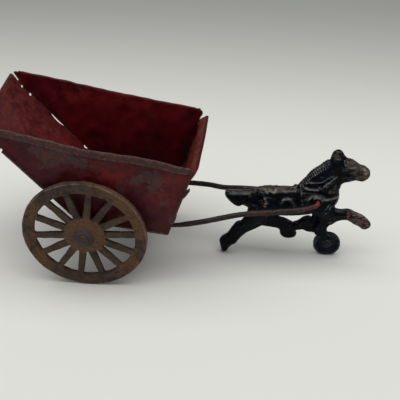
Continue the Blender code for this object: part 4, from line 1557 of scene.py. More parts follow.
    def panel_outline(self, side: Side) -> tuple[Array, list[Fold]]:
        """Outline a side panel's flat blank, hem flap and tabs included.

        Args:
            side: the viewer's panel has one tab sprung open, and the other follows the sheet where it
                gave way.

        Returns:
            The closed outline in (x, z), and the folds that close it.
        """
        inset = self.offset(self.sheet_t + self.gap)
        gives = 1.0 if side is Side.LEFT else 0.0

        def on_edge(tail: bool, distance: float) -> Array:
            """Find the panel's edge beside a point of the tail or the front.

            Args:
                tail: whether it is the tail.
                distance: how far up it.

            Returns:
                The place in side view.
            """
            corner, way, normal = self.edge(tail)
            give = gives * self.lean(tail, distance)
            return corner + way * distance + normal * (give - self.sheet_t - (self.gap if tail else 0.0))

        rear, front = np.array(self.rear_top), np.array(self.front_top)
        front += gives * np.array(self.left_front_more)
        top_way = (front - rear) / np.linalg.norm(front - rear)
        up = np.array([-top_way[1], top_way[0]])
        rear, front = rear - up * self.panel_t / 2, front - up * self.panel_t / 2
        flap = math.pi * self.hem_r + self.hem_h
        folds = [Fold((rear + front) / 2, up, self.hem_r, math.pi, 1.0, 99.0)]
        bend_at = self.gap + self.panel_t / 2 - self.tab_bend_r
        tab_out = bend_at + self.tab_bend_r * math.pi / 2 + self.tab_fold - self.tab_bend_r
        front_free = (self.front_free_z - self.line[2][1]) / self.ways(2, 1)[1][1]
        tail_free = (self.tail_free_z - self.line[3][1]) / self.ways(3, 4)[1][1]
        corners = [front, on_edge(False, front_free), on_edge(False, front_free - 5)]
        radii = [self.front_r, 0.0, 0.0]

        def add_tab(index: int, backwards: bool) -> None:
            """Append a tab's corners to the outline, and the fold that bends it over the sheet.

            Args:
                index: which tab.
                backwards: whether the outline runs down the edge here.
            """
            point, way, normal = self.tab_places()[index]
            give = normal * gives * self.lean(index > 1, (*self.front_tabs, *self.tail_tabs)[index])
            low, high = -self.tab_half_w, self.tab_half_w
            root = -self.sheet_t - (self.gap if index > 1 else 0.0)
            steps = [(low, root, 0.0), (low, tab_out, 0.9), (high, tab_out, 0.9), (high, root, 0.0)]
            if index == 1 and side is Side.RIGHT:
                steps = [(low, root, 0.0), (low, 0.1, 0.0), (low - 0.9, 0.2, 0.0), (-1.1, 1.2, 1.0),
                         (high - 0.2, 2.3, 0.8), (high + 2.1, 1.9, 0.3), (high + 0.3, 0.6, 0.0),
                         (high, root, 0.0)]
            else:
                start = point + give + normal * bend_at
                folds.append(Fold(start, normal, self.tab_bend_r, math.pi / 2, -1.0, high + 0.5))
            for along, out, radius in (steps[::-1] if backwards else steps):
                corners.append(point + give + way * along + normal * out)
                radii.append(radius)

        add_tab(1, True)
        add_tab(0, True)
        corners += [on_edge(False, distance) for distance in (6.0, 3.0)] + [inset[2], inset[3]]
        corners += [on_edge(True, distance) for distance in (3.0, 6.0, 9.0)]
        radii += [0.0, 0.0, 0.6, 1.2, 0.0, 0.0, 0.0]
        add_tab(2, False)
        add_tab(3, False)
        corners += [on_edge(True, tail_free), rear]
        radii += [0.0, self.rear_r]
        hem_rear, hem_front = rear + top_way * self.hem_rear_in, front - top_way * self.hem_front_in
        slanted = hem_rear + top_way * self.hem_rear_slant
        corners += [hem_rear, slanted + up * flap, hem_front + up * flap, hem_front]
        radii += [0.0, 0.8, 0.8, 0.0]
        return rounded(corners, radii, 15.0), folds

    def panel_shape(self, side: Side) -> Shape:
        """Cut a panel's blank, fold its hem and tabs, and dent it as the old one is dented.

        Args:
            side: which panel.

        Returns:
            The panel in place on its side.
        """
        outline, folds = self.panel_outline(side)
        rows = [folds[0].rows(60.0, self.spacing)]
        rows += [fold.rows(self.tab_half_w - 0.4, 0.8) for fold in folds[1:]]
        flat, triangles, rim = SheetBlank(outline, [], self.spacing, np.vstack(rows)).cut()
        middle = np.stack([flat[:, 0], np.full(len(flat), self.panel_y), flat[:, 1]], 1)
        normal = np.tile([0.0, 1.0, 0.0], (len(flat), 1))
        for fold in folds:
            fold.apply(flat, middle, normal)
        x, z = middle[:, 0].copy(), middle[:, 2].copy()
        above = (flat - folds[0].start) @ folds[0].way
        height = -((np.stack([x, z], 1) - folds[0].start) @ folds[0].way)
        top = bell(np.maximum(height, 0.0), 30.0)
        dents = self.right_dents if side is Side.RIGHT else self.left_dents
        push = sum(depth * bell(x - at_x, width) for at_x, width, depth in dents) * top
        foot = unit((z - 50) / 25)
        push += foot * 0.22 * ripple(np.stack([x, z], 1), 16.0, 31 if side is Side.RIGHT else 37)
        hem = above > 0.0
        waves = ripple(np.stack([x, np.zeros_like(x)], 1), 9.0, 3)
        push += 0.12 * waves * hem * unit(above / 2)
        middle[:, 1] += push
        # The hem's fold top and the cut edges reach the pale edge highlight of the enamel: worn metal and
        # painted highlight.
        edge_line = bell(above - 0.4 * math.pi, 1.0)
        lower_hem = bell(above - math.pi * 0.42 - self.hem_h, 0.7)
        values = {
            "wear_and_sheen": np.maximum.reduce([bell(rim, 0.7), 0.95 * edge_line, 0.75 * lower_hem, 0.70 * hem]),
            "rust": 0.05 + 0.08 * hem,
        }
        values.update(self.patches(side, x, z))
        shape = SheetBlank.thickened(middle, normal, triangles, self.panel_t, values)
        # The inner face takes the painted bounce tint, painted light and painted shade of inside().
        inner = (shape.values["front"] < 0.5) & np.tile(above < 0.3, 2)
        for label, heights in self.inside(np.tile(x, 2), np.tile(z, 2)).items():
            shape.values[label] = np.where(inner, heights, shape.values.get(label, 0.0))
        return shape.on_side(side)

    @staticmethod
    def inside(x: Array, z: Array) -> dict[str, Array]:
        """Colour a panel's inner face with painted light and shade: the crimson bounce tint, painted light
        along the top, painted shade at its foot and ends, two darker spots low down and two rubbed patches.

        Args:
            x, z: each point's place.

        Returns:
            The values that the enamel reads there.
        """
        # Painted shade at both ends, where the panel meets the tail and the front.
        dark_ends = 0.45 * bell(x + 47, 7.0) + 0.35 * bell(x - 62, 7.0)
        low_dark_spots = spot(x, z, -6.0, 67.5, 11.0, 4.0, 0.6), spot(x, z, 40.0, 68.0, 9.0, 4.5, 0.5)
        return {
            "inner_bounce_tint": np.ones_like(x),
            "glow": spot(x, z, 36.0, 90.0, 30.0, 13.0, 0.32) + spot(x, z, -8.0, 99.0, 34.0, 8.0, 0.95),
            "shade": 0.55 * ease((66 - z) / 22) + dark_ends + low_dark_spots[0] + low_dark_spots[1],
            "bare": spot(x, z, -14.0, 104.0, 12.0, 3.0, 0.62) + spot(x, z, 3.0, 66.0, 9.0, 3.0, 0.35),
        }

    def patches(self, side: Side, x: Array, z: Array) -> dict[str, Array]:
        """Place the rubbed patches, bright reds and darks of a panel's outer face: sums of soft spots.

        Args:
            side: which panel.
            x, z: each point's place.

        Returns:
            The values "bare", "glow" and "shade".
        """
        x = x if side is Side.RIGHT else 12 - x
        tables = {"bare": self.rubs, "glow": self.reds, "shade": self.darks}
        return {label: np.sum([spot(x, z, *row) for row in rows], axis=0) for label, rows in tables.items()}

    def build(self) -> None:
        """Make the folded sheet and both panels."""
        enamel = WornEnamel("worn_red_enamel").build()
        sheet = self.sheet_shape().to_object("folded_box_sheet", enamel)
        settle(sheet, "cart_box", Slot.SHEET, "folded_sheet")
        for side in Side:
            piece = self.panel_shape(side).to_object(f"{side.label}_box_panel", enamel)
            settle(piece, "cart_box", Slot.SHEET, f"side_panel_{side.label}")


@dataclass
class Shafts:
    """The two wire shafts, from the eyes round the axle to the tips in the horse's shoulder."""

    radius: float = 1.45
    eye_y: float = 25.6
    eye_r: float = 3.8
    eye_start_deg: float = 20.0
    line: tuple = ((20.0, 25.5, 37.3), (40.0, 25.3, 37.3), (55.6, 25.0, 37.5), (64.9, 24.3, 38.4),
                   (75.4, 21.9, 39.4), (87.0, 18.3, 40.4), (101.6, 15.3, 42.3), (123.8, 13.0, 43.8),
                   (138.0, 12.4, 45.6))
    elbow_y: float = 12.4
    elbow_r: float = 2.2
    elbow_drop: float = 1.1
    tip_y: float = 4.2

    def path(self) -> Array:
        """Lay out the left shaft's middle line: eye, run under the floor, elbow and tip.

        Returns:
            Points along it, one row each.
        """
        pivot_x, pivot_z = SHAFT_PIVOT
        turns = np.radians(self.eye_start_deg + np.arange(30) * 250 / 29)
        eye = np.stack([self.eye_r * np.cos(turns), np.full(30, self.eye_y),
                        AXLE_Z + self.eye_r * np.sin(turns)], 1)
        lead = (pivot_x - self.elbow_r, self.elbow_y, pivot_z - self.elbow_drop)
        run = smooth_line([eye[-1], *self.line, lead], 1.2)
        bend = np.linspace(0.0, math.pi / 2, 9)[1:]
        elbow = np.stack([pivot_x - self.elbow_r * (1 - np.sin(bend)),
                          self.elbow_y - self.elbow_r * (1 - np.cos(bend)),
                          pivot_z - self.elbow_drop * (1 - np.sin(bend))], 1)
        tip_y = np.linspace(self.elbow_y - self.elbow_r, self.tip_y, 6)[1:]
        tip = np.stack([np.full(5, pivot_x), tip_y, np.full(5, pivot_z)], 1)
        return np.vstack([eye, run[1:], elbow, tip])

    def build(self) -> None:
        """Make both shafts, a little uneven along their length and stouter where they run free."""
        finish = WireFinish("worn_shaft_wire").build()
        for seed, side in enumerate(Side):
            path = self.path()
            x = path[:, 0].copy()
            wobble = np.stack([ripple(path, 30.0, 50 + seed), ripple(path, 26.0, 60 + seed)], 1)
            free = unit((x - 8) / 12) * unit((136 - x) / 12)
            path[:, 1:] += 0.08 * wobble * free[:, None]
            stout = ease((x - 57) / 8) * ease((143 - x) / 6)
            radii = self.radius * (1 + 0.26 * stout + 0.02 * ripple(path, 7.0, 70 + seed))
            if side is Side.LEFT:
                path[:, 2] -= 0.5 * bell(x - 84, 14.0)
            radii[[0, -1]] = self.radius * 0.8
            shape = tube(path, radii).roughened(0.025, 1.8, 80 + seed)
            x = shape.points[:, 0]
            # Painted shade: the far shaft keeps less of its red, which darkens it.
            red_loss_and_far_shade = 0.04 if side is Side.RIGHT else 0.2
            shape.values["red"] = 0.12 * bell(np.maximum(146 - x, 0.0), 7.0) - red_loss_and_far_shade
            shape.values["knob"] = bell(x - 150.4, 2.4) * 0.85
            piece = shape.on_side(side).to_object(f"{side.label}_shaft_wire", finish, 60.0)
            settle(piece, "shaft_frame", Slot.WIRE, f"shaft_{side.label}")


@dataclass
class CastHorse:
    """The cast-iron horse: two halves, each with its own legs, harness and mane in relief.

    Limbs are rows of (x, z, radius), slabs are outlines in (x, z), a strap or groove is a line with its
    width and rise or depth (and a strap's share of cream, for worn relief and painted highlight), and a
    muscle is a row for spot().
    """

    half_gap: float = 0.16
    leg_y: float = 2.9
    leg_flat: float = 0.68
    voxel: float = 0.36
    trunk: tuple = (
        (103, 44.9, 6.1), (108, 44.2, 7.5), (112.6, 44.2, 9.9), (116.5, 44.1, 10.9), (121, 44, 11.2),
        (127, 44, 11.4), (133, 44.1, 11.3), (140, 44.9, 11.2), (148, 46.4, 10.6), (155, 48.4, 9.4))
    chest: tuple = ((156.8, 58.4, 7.4), (157.1, 52.4, 7.7), (156.4, 48.6, 7.9), (153.8, 43, 6.4))
    neck: tuple = ((149, 52, 9.6), (152.5, 60, 9.4), (155.5, 67, 8.3), (158, 72, 6.6))
    head: tuple = ((159.5, 72.3, 6.6), (166, 71.6, 7.2), (173, 69.8, 5.8), (178, 68.8, 4.8))
    rear_hind: tuple = (
        (112.4, 38.2, 8.2), (109.2, 31.5, 6.6), (102, 22.6, 4.6), (94.6, 13.6, 4.4), (89.6, 6.6, 3.6))
    leading_fore: tuple = (
        (154, 42.2, 7.4), (160, 37.6, 5.6), (167, 37, 3.9), (173, 36.4, 3.8), (179, 32.6, 3.6),
        (183.7, 29.4, 3))
    forward_hind: tuple = (
        (112, 38.4, 8.4), (117, 29.4, 7), (123.4, 24.2, 4.7), (128.6, 22.2, 3.8), (132.4, 19.2, 3.9),
        (132.8, 15.6, 3.8))
    folded_fore: tuple = (
        (153, 41, 7.4), (154.6, 33, 6.4), (151.8, 23.4, 5), (146, 24, 4.6), (139, 21.4, 3.4),
        (133, 19.6, 3.4))
    trailing_leg: tuple = (
        (107.6, 38.5), (106.5, 34.5), (105.9, 31.2), (103, 29.3), (99.6, 27.4), (96.6, 26.2), (93.8, 22.2),
        (90.3, 16), (87.6, 14), (85.4, 11), (85.2, 8.6), (85.8, 5), (86.6, 1.8), (88.4, 0.2), (90.6, 1.2),
        (92.2, 4.2), (94.2, 6.4), (96.6, 7.8), (98.7, 11.4), (100.8, 15), (103.2, 17.4), (106.4, 19.6),
        (110.4, 22), (114.4, 25), (117.6, 28), (118.4, 34), (113, 40))
    reaching_leg: tuple = (
        (159.2, 46), (161.6, 43.4), (164.2, 41.4), (167.6, 41.2), (170.8, 41.8), (173.4, 41.3),
        (176.5, 39.6), (180.7, 37.7), (183.7, 35.8), (186.4, 33), (188.3, 30), (187.2, 27.5), (184.6, 26),
        (182, 26.5), (179.6, 28.8), (177, 31.3), (174.6, 32.9), (171.8, 33.3), (168.4, 32.8), (165.2, 31.6),
        (161.6, 28.6), (158, 30), (154, 38))
    swung_leg: tuple = (
        (108, 36), (109, 25.6), (112.6, 21), (118.7, 19.9), (122.9, 19.4), (125.6, 18.7), (126.9, 16.9),
        (127.2, 14.4), (128.4, 12.3), (130.8, 10.9), (134, 10.7), (137.4, 11.7), (138.9, 14.3), (138.2, 17),
        (138.1, 18.8), (137.6, 21.2), (136.4, 23.4), (133.2, 25.6), (129.8, 27.3), (126.4, 28.4),
        (121.6, 32), (114, 40))
    tucked_leg: tuple = (
        (135.8, 24.2), (136.8, 19.6), (139.4, 18.1), (142.6, 18.8), (145.6, 17.3), (148.4, 17),
        (151.4, 16.8), (155.4, 19), (159, 25), (160, 34), (156, 38), (153.6, 30), (151.4, 27.6), (149, 28.8),
        (146.6, 29.9), (144.2, 29.9), (141.8, 28.5), (139, 25.8))
    fork: tuple = (
        (152.6, 38), (152.8, 30.6), (150.6, 25.4), (150.2, 21.6), (152.4, 17.6), (155.4, 13.4), (157.6, 9.2),
        (158.6, 7.5), (160.3, 6.8), (162, 7.6), (162.7, 9.6), (161.6, 13.4), (159.8, 18.6), (158.7, 23.2),
        (160.2, 27.2), (164, 30.8), (162, 37), (156, 40))
    fork_stub: tuple = fork[:4] + (
        (151.4, 18.9), (154.2, 17.4), (157.8, 17.3), (159.9, 18.6), (158.9, 23.2)) + fork[-4:]
    fork_reach: float = 4.6
    # Spots of painted slate sheen on outer faces: (x, z, width, share).
    sheen_spots: tuple = (
        (160.9, 59.7, 2.6, 0.75), (167.4, 73.9, 2.4, 0.6), (155.8, 24.4, 1.9, 0.7), (160.3, 32, 2.2, 0.6),
        (134.1, 18.7, 2, 0.7))
    tail_block: tuple = (
        (87.9, 49), (88.5, 46.4), (90.2, 44), (92.2, 41.7), (95.2, 39.3), (98.2, 38.5), (100.6, 40),
        (103, 41.2), (105.6, 40.6), (110, 42), (109, 49.6), (104, 50.4), (96, 50.2), (90, 50.6))
    mane: tuple = (
        (132.4, 55), (134.8, 57), (137.4, 58.3), (140.6, 62.4), (144.1, 67.8), (147.2, 71), (150.4, 73.3),
        (153.5, 74.6), (156.3, 75.6), (159, 76.2), (158, 71), (148, 59))
    ear: tuple = (
        (156.2, 77), (156.7, 80.6), (157.6, 83.6), (158.8, 85.2), (160.3, 86), (162.2, 86), (163.8, 84.7),
        (165.4, 82.2), (166.6, 79.8), (161.8, 76))
    face: tuple = (
        (160.5, 77.6), (165.2, 80.6), (168.1, 80), (170.4, 79.5), (172.3, 78.5), (174.3, 77), (176, 75.8),
        (178.5, 74.6), (180.9, 73.4), (182.8, 71.4), (183.3, 69), (182.8, 66.8), (180.9, 64.8),
        (178.6, 63.5), (176.3, 63.7), (174, 64), (170.8, 62.8), (167.8, 62), (166.6, 61.3), (165.4, 59.6),
        (164.6, 56.4), (160.5, 54), (158.5, 70))
    pivot_bore: float = 1.85
    pivot_bore_end: float = 3.5
    collar_r: float = 3.7
    collar_reach: float = 9.2
    slot_r: float = 10.6
    slot_half: float = 2.2
    pin_bore: float = 1.5
    straps: tuple = (
        (((140.8, 57.4), (146, 57.6), (149.9, 58.2), (153, 60.8), (156, 63.4), (159, 66.3),
         (161.4, 68)), 0.75, 1.2, 1),
        (((141.8, 61.4), (145.7, 62.2), (150.8, 63.9), (153.9, 65.7), (157.6, 67.9),
         (160, 69.2)), 0.6, 0.8, 0.65),
        (((152.5, 58.4), (155.6, 61), (158, 62.7), (159.8, 65.2)), 0.6, 0.8, 0.5),
        (((144.4, 50.4), (146.4, 53), (149.7, 54), (151.7, 53.5), (153.8, 52), (155.9, 51), (159.1, 51.4),
         (163.6, 52.2)), 0.95, 1.4, 0.8),
        (((162.8, 48.2), (159.2, 43.8), (155.4, 39.6)), 0.65, 0.8, 0.65),
        (((159.9, 48.4), (156.7, 44.5), (153, 39.8)), 0.65, 0.8, 0.6),
        (((138.2, 59.8), (138.9, 56.6), (139.5, 51.8), (140.2, 47.7), (141.4, 43)), 0.8, 0.9, 0.6),
        (((134.4, 60), (135.2, 54.8)), 1.2, 0.9, 1),
        (((112.7, 56.6), (114.2, 55.4), (116.6, 53), (118.4, 54.2), (121.4, 53.2), (123, 56.2)), 1.1, 0.8, 1),
        (((114.8, 50), (115.8, 46.6), (115.5, 43.6)), 1.3, 0.9, 0.75),
        (((105.6, 45.4), (108, 43), (110.8, 41.2)), 0.6, 0.5, 0.2),
        (((126.2, 46.6), (127.5, 49.2), (130.8, 49.7), (132.8, 49), (135.4, 45.4)), 0.95, 1, 0.62),
        (((111.4, 56), (111, 50), (112.4, 45)), 0.5, 0.6, 0.25),
        (((157.6, 73.6), (160.1, 68.6)), 0.45, 0.7, 0.6),
        (((164.5, 75.4), (165.2, 69)), 0.45, 0.7, 0.4),
        (((165.2, 80), (165.8, 77.6), (167.6, 75.4), (170.8, 75), (173, 75.6)), 0.6, 1, 0.8),
        (((165.6, 67.6), (168.6, 67), (172.6, 66.8)), 0.8, 0.6, 0.35),
        (((172.4, 66.4), (175, 66.2), (178.4, 66.6)), 0.4, 0.6, 0.7),
        (((178.2, 74), (179.6, 73), (180, 71.6)), 0.8, 0.7, 0.7),
        (((158, 80.4), (162.8, 80.6)), 0.6, 0.7, 0.7),
        (((94, 49.6), (99, 49.9), (104, 49.9)), 0.9, 0.5, 0.35))
    grooves: tuple = (
        (((144.6, 55.4), (149.6, 55.9), (153.8, 54.4), (158, 54.6)), 0.9, 0.9),
        (((136.6, 60), (137, 53), (137.6, 44)), 0.7, 0.7),
        (((145.4, 50.4), (147, 46), (144.6, 41)), 0.9, 0.9),
        (((110, 57), (109.4, 50), (110.6, 44)), 0.8, 0.6),
        (((97, 42.6), (101.5, 44.4), (104, 49.6)), 0.7, 0.5),
        (((150.8, 61.2), (153.6, 63.4), (158.6, 67)), 0.5, 0.4),
        (((112.4, 43.4), (112.2, 49.4), (117.6, 50.6), (123, 49.4), (124.4, 45)), 0.9, 0.7),
        (((128.4, 45.4), (130.6, 47.2), (132.6, 45.2)), 0.8, 0.8),
        (((115.6, 54.4), (116, 54.8)), 0.7, 0.9),
        (((120.3, 54.3), (120.9, 54.7)), 0.8, 0.9),
        (((175.6, 74.6), (174.8, 71), (174, 68.4)), 0.7, 0.4),
        (((176.6, 65.4), (179.6, 66.2), (182.4, 67.4)), 0.4, 0.8),
        (((168.4, 74.2), (171.4, 74.1)), 0.5, 0.7),
        (((162, 75), (162.6, 70)), 0.8, 0.5),
        (((167.4, 69.4), (171, 69)), 0.6, 0.6))
    crest: tuple = ((140, 59.4), (142.8, 64.4), (144.8, 67), (148.2, 70.6), (151.6, 73.4), (155.4, 75.8))
    muscles: tuple = (
        (157.6, 57, 3.4, 2.6, 1.3), (105.5, 45.5, 5, 4.4, 0.8), (142.6, 52.4, 2.2, 4.4, 1.2),
        (131, 41.6, 6.5, 3, 0.5), (180, 69.4, 2.8, 3.4, 0.9), (129.8, 54, 5, 2, 0.5),
        (118, 41.5, 4.2, 3, 0.6), (110.5, 36, 4.5, 4.5, 0.5), (151.6, 65.6, 2.4, 3.4, 0.9),
        (97.5, 45.5, 3.8, 2.6, 0.7), (171.2, 71.6, 2.6, 2.6, 1), (167.8, 77.6, 1.5, 1.1, 0.7),
        (150.4, 49.6, 3.4, 3.2, 2.3), (148, 68, 2.2, 2.4, 0.5), (145.8, 60, 3, 1, 0.5))
    right_straps: tuple = (
        (((120.8, 36.4), (115.7, 27.8)), 0.6, 0.5),
        (((118.6, 36.8), (113.4, 28.6)), 0.6, 0.45),
        (((88.6, 7.6), (95.6, 10.2)), 0.8, 0.6),
        (((176.4, 30.6), (181.6, 36.6)), 0.7, 0.4),
        (((101.8, 27), (97, 19)), 0.9, 0.4),
        (((163, 38), (172, 38.6)), 0.9, 0.35))
    left_straps: tuple = (
        (((128.2, 17.6), (137, 18.4)), 0.8, 0.6),
        (((128.8, 15.2), (137.2, 15.8)), 0.6, 0.5),
        (((151, 27.4), (148, 30), (145, 28), (146.6, 25.4)), 0.7, 0.5),
        (((129, 17.8), (134.6, 22.6)), 0.8, 0.5))

    def relief(self, x: Array, z: Array, side: Side) -> tuple[Array, Array]:
        """Draw the harness, mane and face as heights over the casting's side.

        Each strap is a soft ridge about a line, each groove the same taken away, and each muscle or the
        eye a soft spot. The mane is a row of hatched ridges along the crest.

        Args:
            x, z: grid of side-view places.
            side: the legs differ from side to side.

        Returns:
            Heights in millimetres, and the straps' and mane's share of them for the cream of worn relief and
            painted highlight.
        """
        height = np.zeros_like(x)
        pale_wear_and_highlight = np.zeros_like(x)
        for line, width, rise, pale in self.straps:
            ridge = bell(line_distance(x, z, line), width)
            height = np.maximum(height, rise * ridge)
            pale_wear_and_highlight = np.maximum(pale_wear_and_highlight, pale * ridge)
        for row in self.muscles:
            height += spot(x, z, *row)
        for line, width, depth in self.grooves:
            height -= depth * bell(line_distance(x, z, line), width)
        height -= spot(x, z, 168.0, 77.5, 0.6, 0.5, 0.9) + spot(x, z, 177.4, 70.6, 0.8, 0.7)
        away = line_distance(x, z, self.crest)
        along = (x - 139.6) * 0.68 + (z - 59.6) * 0.73
        hatch = ease(0.45 + 0.9 * np.cos((along + 0.2 * away) * 2 * math.pi / 1.66))
        mane = bell(away - 0.9, 0.85)
        height += mane * (0.2 + 1 * hatch)
        pale_wear_and_highlight = np.maximum(pale_wear_and_highlight, hatch * mane * (0.35 + 0.65 * bell(x - 149, 5.5)))
        legs = np.zeros_like(x)
        for line, width, rise in self.right_straps if side is Side.RIGHT else self.left_straps:
            legs = np.maximum(legs, rise * bell(line_distance(x, z, line), width))
        return height + legs, pale_wear_and_highlight

    @staticmethod
    def blend_limb(block: SolidField, stations: tuple, y: float, flat: float, relief: Array,
                   soft: float) -> None:
        """Blend a limb in: the least distance to balls strung along a smooth line, flattened across y.

        Args:
            block: the solid.
            stations: (x, z, radius) along the limb.
            y: how far out the limb's middle lies.
            flat: its thickness as a share of its height.
            relief: heights on the block's x and z, which push the surface out.
            soft: width of the fillet.
        """
        line = smooth_line(stations, 2.5)
        spans, (x, out, z) = block.around(line, line[:, 2].max() + 4)
        raised = relief[spans[0], spans[2]][:, None, :]
        across = np.sign(out - y) * np.maximum(np.abs(out - y) - raised * (out > y), 0.0) / flat
        distance = np.full(np.broadcast(x, out, z).shape, block.EMPTY, np.float32)
        for (ax, az, ar), (bx, bz, br) in zip(line, line[1:]):
            dx, dz = bx - ax, bz - az
            along = unit(((x - ax) * dx + (z - az) * dz) / (dx * dx + dz * dz))
            radius = ar + (br - ar) * along
            away = np.sqrt((x - ax - along * dx) ** 2 + (z - az - along * dz) ** 2 + across ** 2) - radius
            distance = np.minimum(distance, away)
        block.blend(spans, distance * min(1.0, flat + 0.25), soft)

    @staticmethod
    def blend_slab(block: SolidField, loop: tuple, half: float, edge: float, relief: Array, soft: float,
                   shift: float = 0.0) -> None:
        """Blend in a flat part with a rounded edge: its half thickness rises as a quarter ellipse.

        Args:
            block: the solid.
            loop: outline in (x, z).
            half: half thickness away from the edge.
            edge: width of the rounded edge.
            relief: heights on the block's x and z.
            soft: width of the fillet.
            shift: how far out the part's middle lies.
        """
        corners = smooth_line([*loop, loop[0]], 0.8)[:-1]
        spans, (x, out, z) = block.around(corners, 3.0)
        flat_x, flat_z = np.broadcast_arrays(x[:, 0, :], z[0])
        away = loop_distance(flat_x, flat_z, corners)
        share = unit(-away / edge)
        thick = half * np.sqrt(1 - (1 - share) ** 2) + relief[spans[0], spans[2]] * (share > 0.02)
        away, thick = away[:, None, :], thick[:, None, :]
        inner = (np.abs(out - shift) - thick) * 0.75
        block.blend(spans, np.where(away > 0.0, np.hypot(away, out - shift), inner), soft)

    def half_shape(self, side: Side) -> Shape:
        """Model one half of the casting.

        Args:
            side: which half, with its own two legs.

        Returns:
            The half in place, with the values that its enamel reads.
        """
        block = SolidField((83.6, -self.voxel * 2, -0.8), (190.0, 10.6, 88.0), self.voxel)
        grid_x, grid_z = np.meshgrid(block.axes[0], block.axes[2], indexing="ij")
        height, pale_wear_and_highlight = self.relief(grid_x, grid_z, side)
        body = ((self.trunk, 0.61, 1.6), (self.chest, 0.76, 1.6), (self.neck, 0.62, 2.0),
                (self.head, 0.52, 1.2))
        for stations, flat, soft in body:
            self.blend_limb(block, stations, 0.0, flat, height, soft)
        self.blend_slab(block, self.tail_block, 4.2, 3.6, height, 1.2)
        if side is Side.RIGHT:
            limbs, loops = (self.rear_hind, self.leading_fore), (self.trailing_leg, self.reaching_leg)
            fork = self.fork_stub
        else:
            limbs, loops = (self.forward_hind, self.folded_fore), (self.swung_leg, self.tucked_leg)
            fork = self.fork
        for limb in limbs:
            self.blend_limb(block, limb, self.leg_y, self.leg_flat, height, 1.2)
        for loop in loops:
            self.blend_slab(block, loop, 2.9, 3.0, height, 0.5, self.leg_y)
        self.blend_slab(block, fork, 2.0, 1.4, 0 * height, 0.6, self.fork_reach - 2)
        self.blend_slab(block, self.mane, 2.6, 2.4, height, 0.6)
        self.blend_slab(block, self.ear, 1.7, 1.6, 0.5 * height, 0.5, 0.8)
        self.blend_slab(block, self.face, 3.5, 3.0, height, 0.6)
        self.drill(block)
        shape = block.surface()
        self.dress(shape, block, height, pale_wear_and_highlight, side)
        return shape.roughened(0.03, 2.6, 90).grounded().on_side(side)

    def drill(self, block: SolidField) -> None:
        """Add the collar of the shaft's tip, then cut the inner face, the soles, the bores and the slot.

        Args:
            block: the solid.
        """
        spans, (x, out, z) = block.around()
        pivot = np.hypot(x - SHAFT_PIVOT[0], z - SHAFT_PIVOT[1])
        half = self.collar_reach / 2
        block.blend(spans, round_box(pivot, out - half, self.collar_r, half, 0.9), 0.9)
        block.carve(out - self.half_gap)
        block.carve(z)
        ring = np.hypot(x - GUIDE_CENTRE[0], z - GUIDE_CENTRE[1])
        block.carve(np.maximum(ring - self.slot_r, out - self.slot_half))
        block.carve(ring - self.pin_bore)
        for rivet_x, rivet_z, _ in HORSE_RIVETS.values():
            block.carve(np.hypot(x - rivet_x, z - rivet_z) - self.pin_bore)
        block.carve(np.maximum(pivot - self.pivot_bore, self.pivot_bore_end - out))

    def dress(self, shape: Shape, block: SolidField, height: Array, pale_wear_and_highlight: Array, side: Side) -> None:
        """Say where the enamel wears and where light and shade are painted: ridges and outer faces pale,
        partly worn and partly painted highlight, upward faces lighter as painted highlight, hollows and
        downward faces dark as painted shade, leading leg rusty.

        Args:
            shape: the half before it is put on its side, given its values here.
            block: its grid.
            height, pale_wear_and_highlight: relief maps on the grid's x and z.
            side: which half.
        """
        x, z = shape.points[:, 0], shape.points[:, 2]
        i = np.clip(((x - block.low[0]) / block.voxel).round().astype(int), 0, height.shape[0] - 1)
        k = np.clip(((z - block.low[2]) / block.voxel).round().astype(int), 0, height.shape[1] - 1)
        outward = shape.normals()
        outer, up = unit(outward[:, 1] * 2.2), unit(outward[:, 2])
        raised, ridge = height[i, k] * outer, pale_wear_and_highlight[i, k] * outer
        lifted = unit(raised - 0.3)
        nose = bell(np.maximum(174.5 - x, 0.0), 4.0) * (z > 60.0)
        cuff = spot(x, z, 171.6, 38.8, 1.5, 3.0) * (side is Side.RIGHT)
        fore_leg = unit((x - 169) / 4) * (z < 45.0) * (side is Side.RIGHT)
        shoulder, breast = spot(x, z, 142.4, 51.6, 1.9, 3.6), spot(x, z, 158.2, 57.4, 3.2, 2.6)
        saddle, girth = spot(x, z, 118.0, 54.6, 5.0, 2.2), spot(x, z, 115.2, 45.6, 2.6, 3.2)
        sheen_slate = sum(share * bell(np.hypot(x - at_x, z - at_z), width)
                    for at_x, at_z, width, share in self.sheen_spots)
        # Painted sheen: raised relief, upward faces and the sheen spots get the slate highlight colour.
        shape.values["painted_sheen"] = (ridge + 0.4 * unit(raised - 0.7) + 0.65 * ease((up - 0.3) / 0.5)
                               - 0.2 + outer * sheen_slate)
        # Pale cream: the straps' and mane's share is worn relief and painted highlight; the spot at the
        # nostril is a painted highlight.
        shape.values["ridge"] = (0.8 * ridge + 0.12 * lifted + 0.3 * spot(x, z, 170.0, 66.6, 6.0, 1.6)
                                 + 0.4 * spot(x, z, 178.8, 72.8, 1.8, 1.4) + 0.4 * cuff)
        # Painted highlight: the terms on upward faces lighten the top of the back and every upward face; the
        # raised relief, nose, brow, ear and body spots are worn enamel.
        shape.values["wear_and_sheen"] = (0.6 * ease((up - 0.45) / 0.45) * (x < 150.0) * (z > 50.0) + 0.2 * up
                                + 0.2 * lifted + 0.7 * nose + 0.75 * spot(x, z, 170.0, 77.4, 4.6, 2.8)
                                + 0.7 * spot(x, z, 160.5, 82.5, 4.0, 4.0)
                                + outer * (0.5 * shoulder + 0.5 * breast + 0.4 * saddle))
        shape.values["rust"] = 0.56 * fore_leg + 0.4 * cuff + 0.3 * nose + 0.7 * outer * girth
        # Painted shade: grooves and faces turned downward darken to black.
        shape.values["hollow"] = unit(-raised * 1.6) + 0.5 * unit(-outward[:, 2] - 0.2)

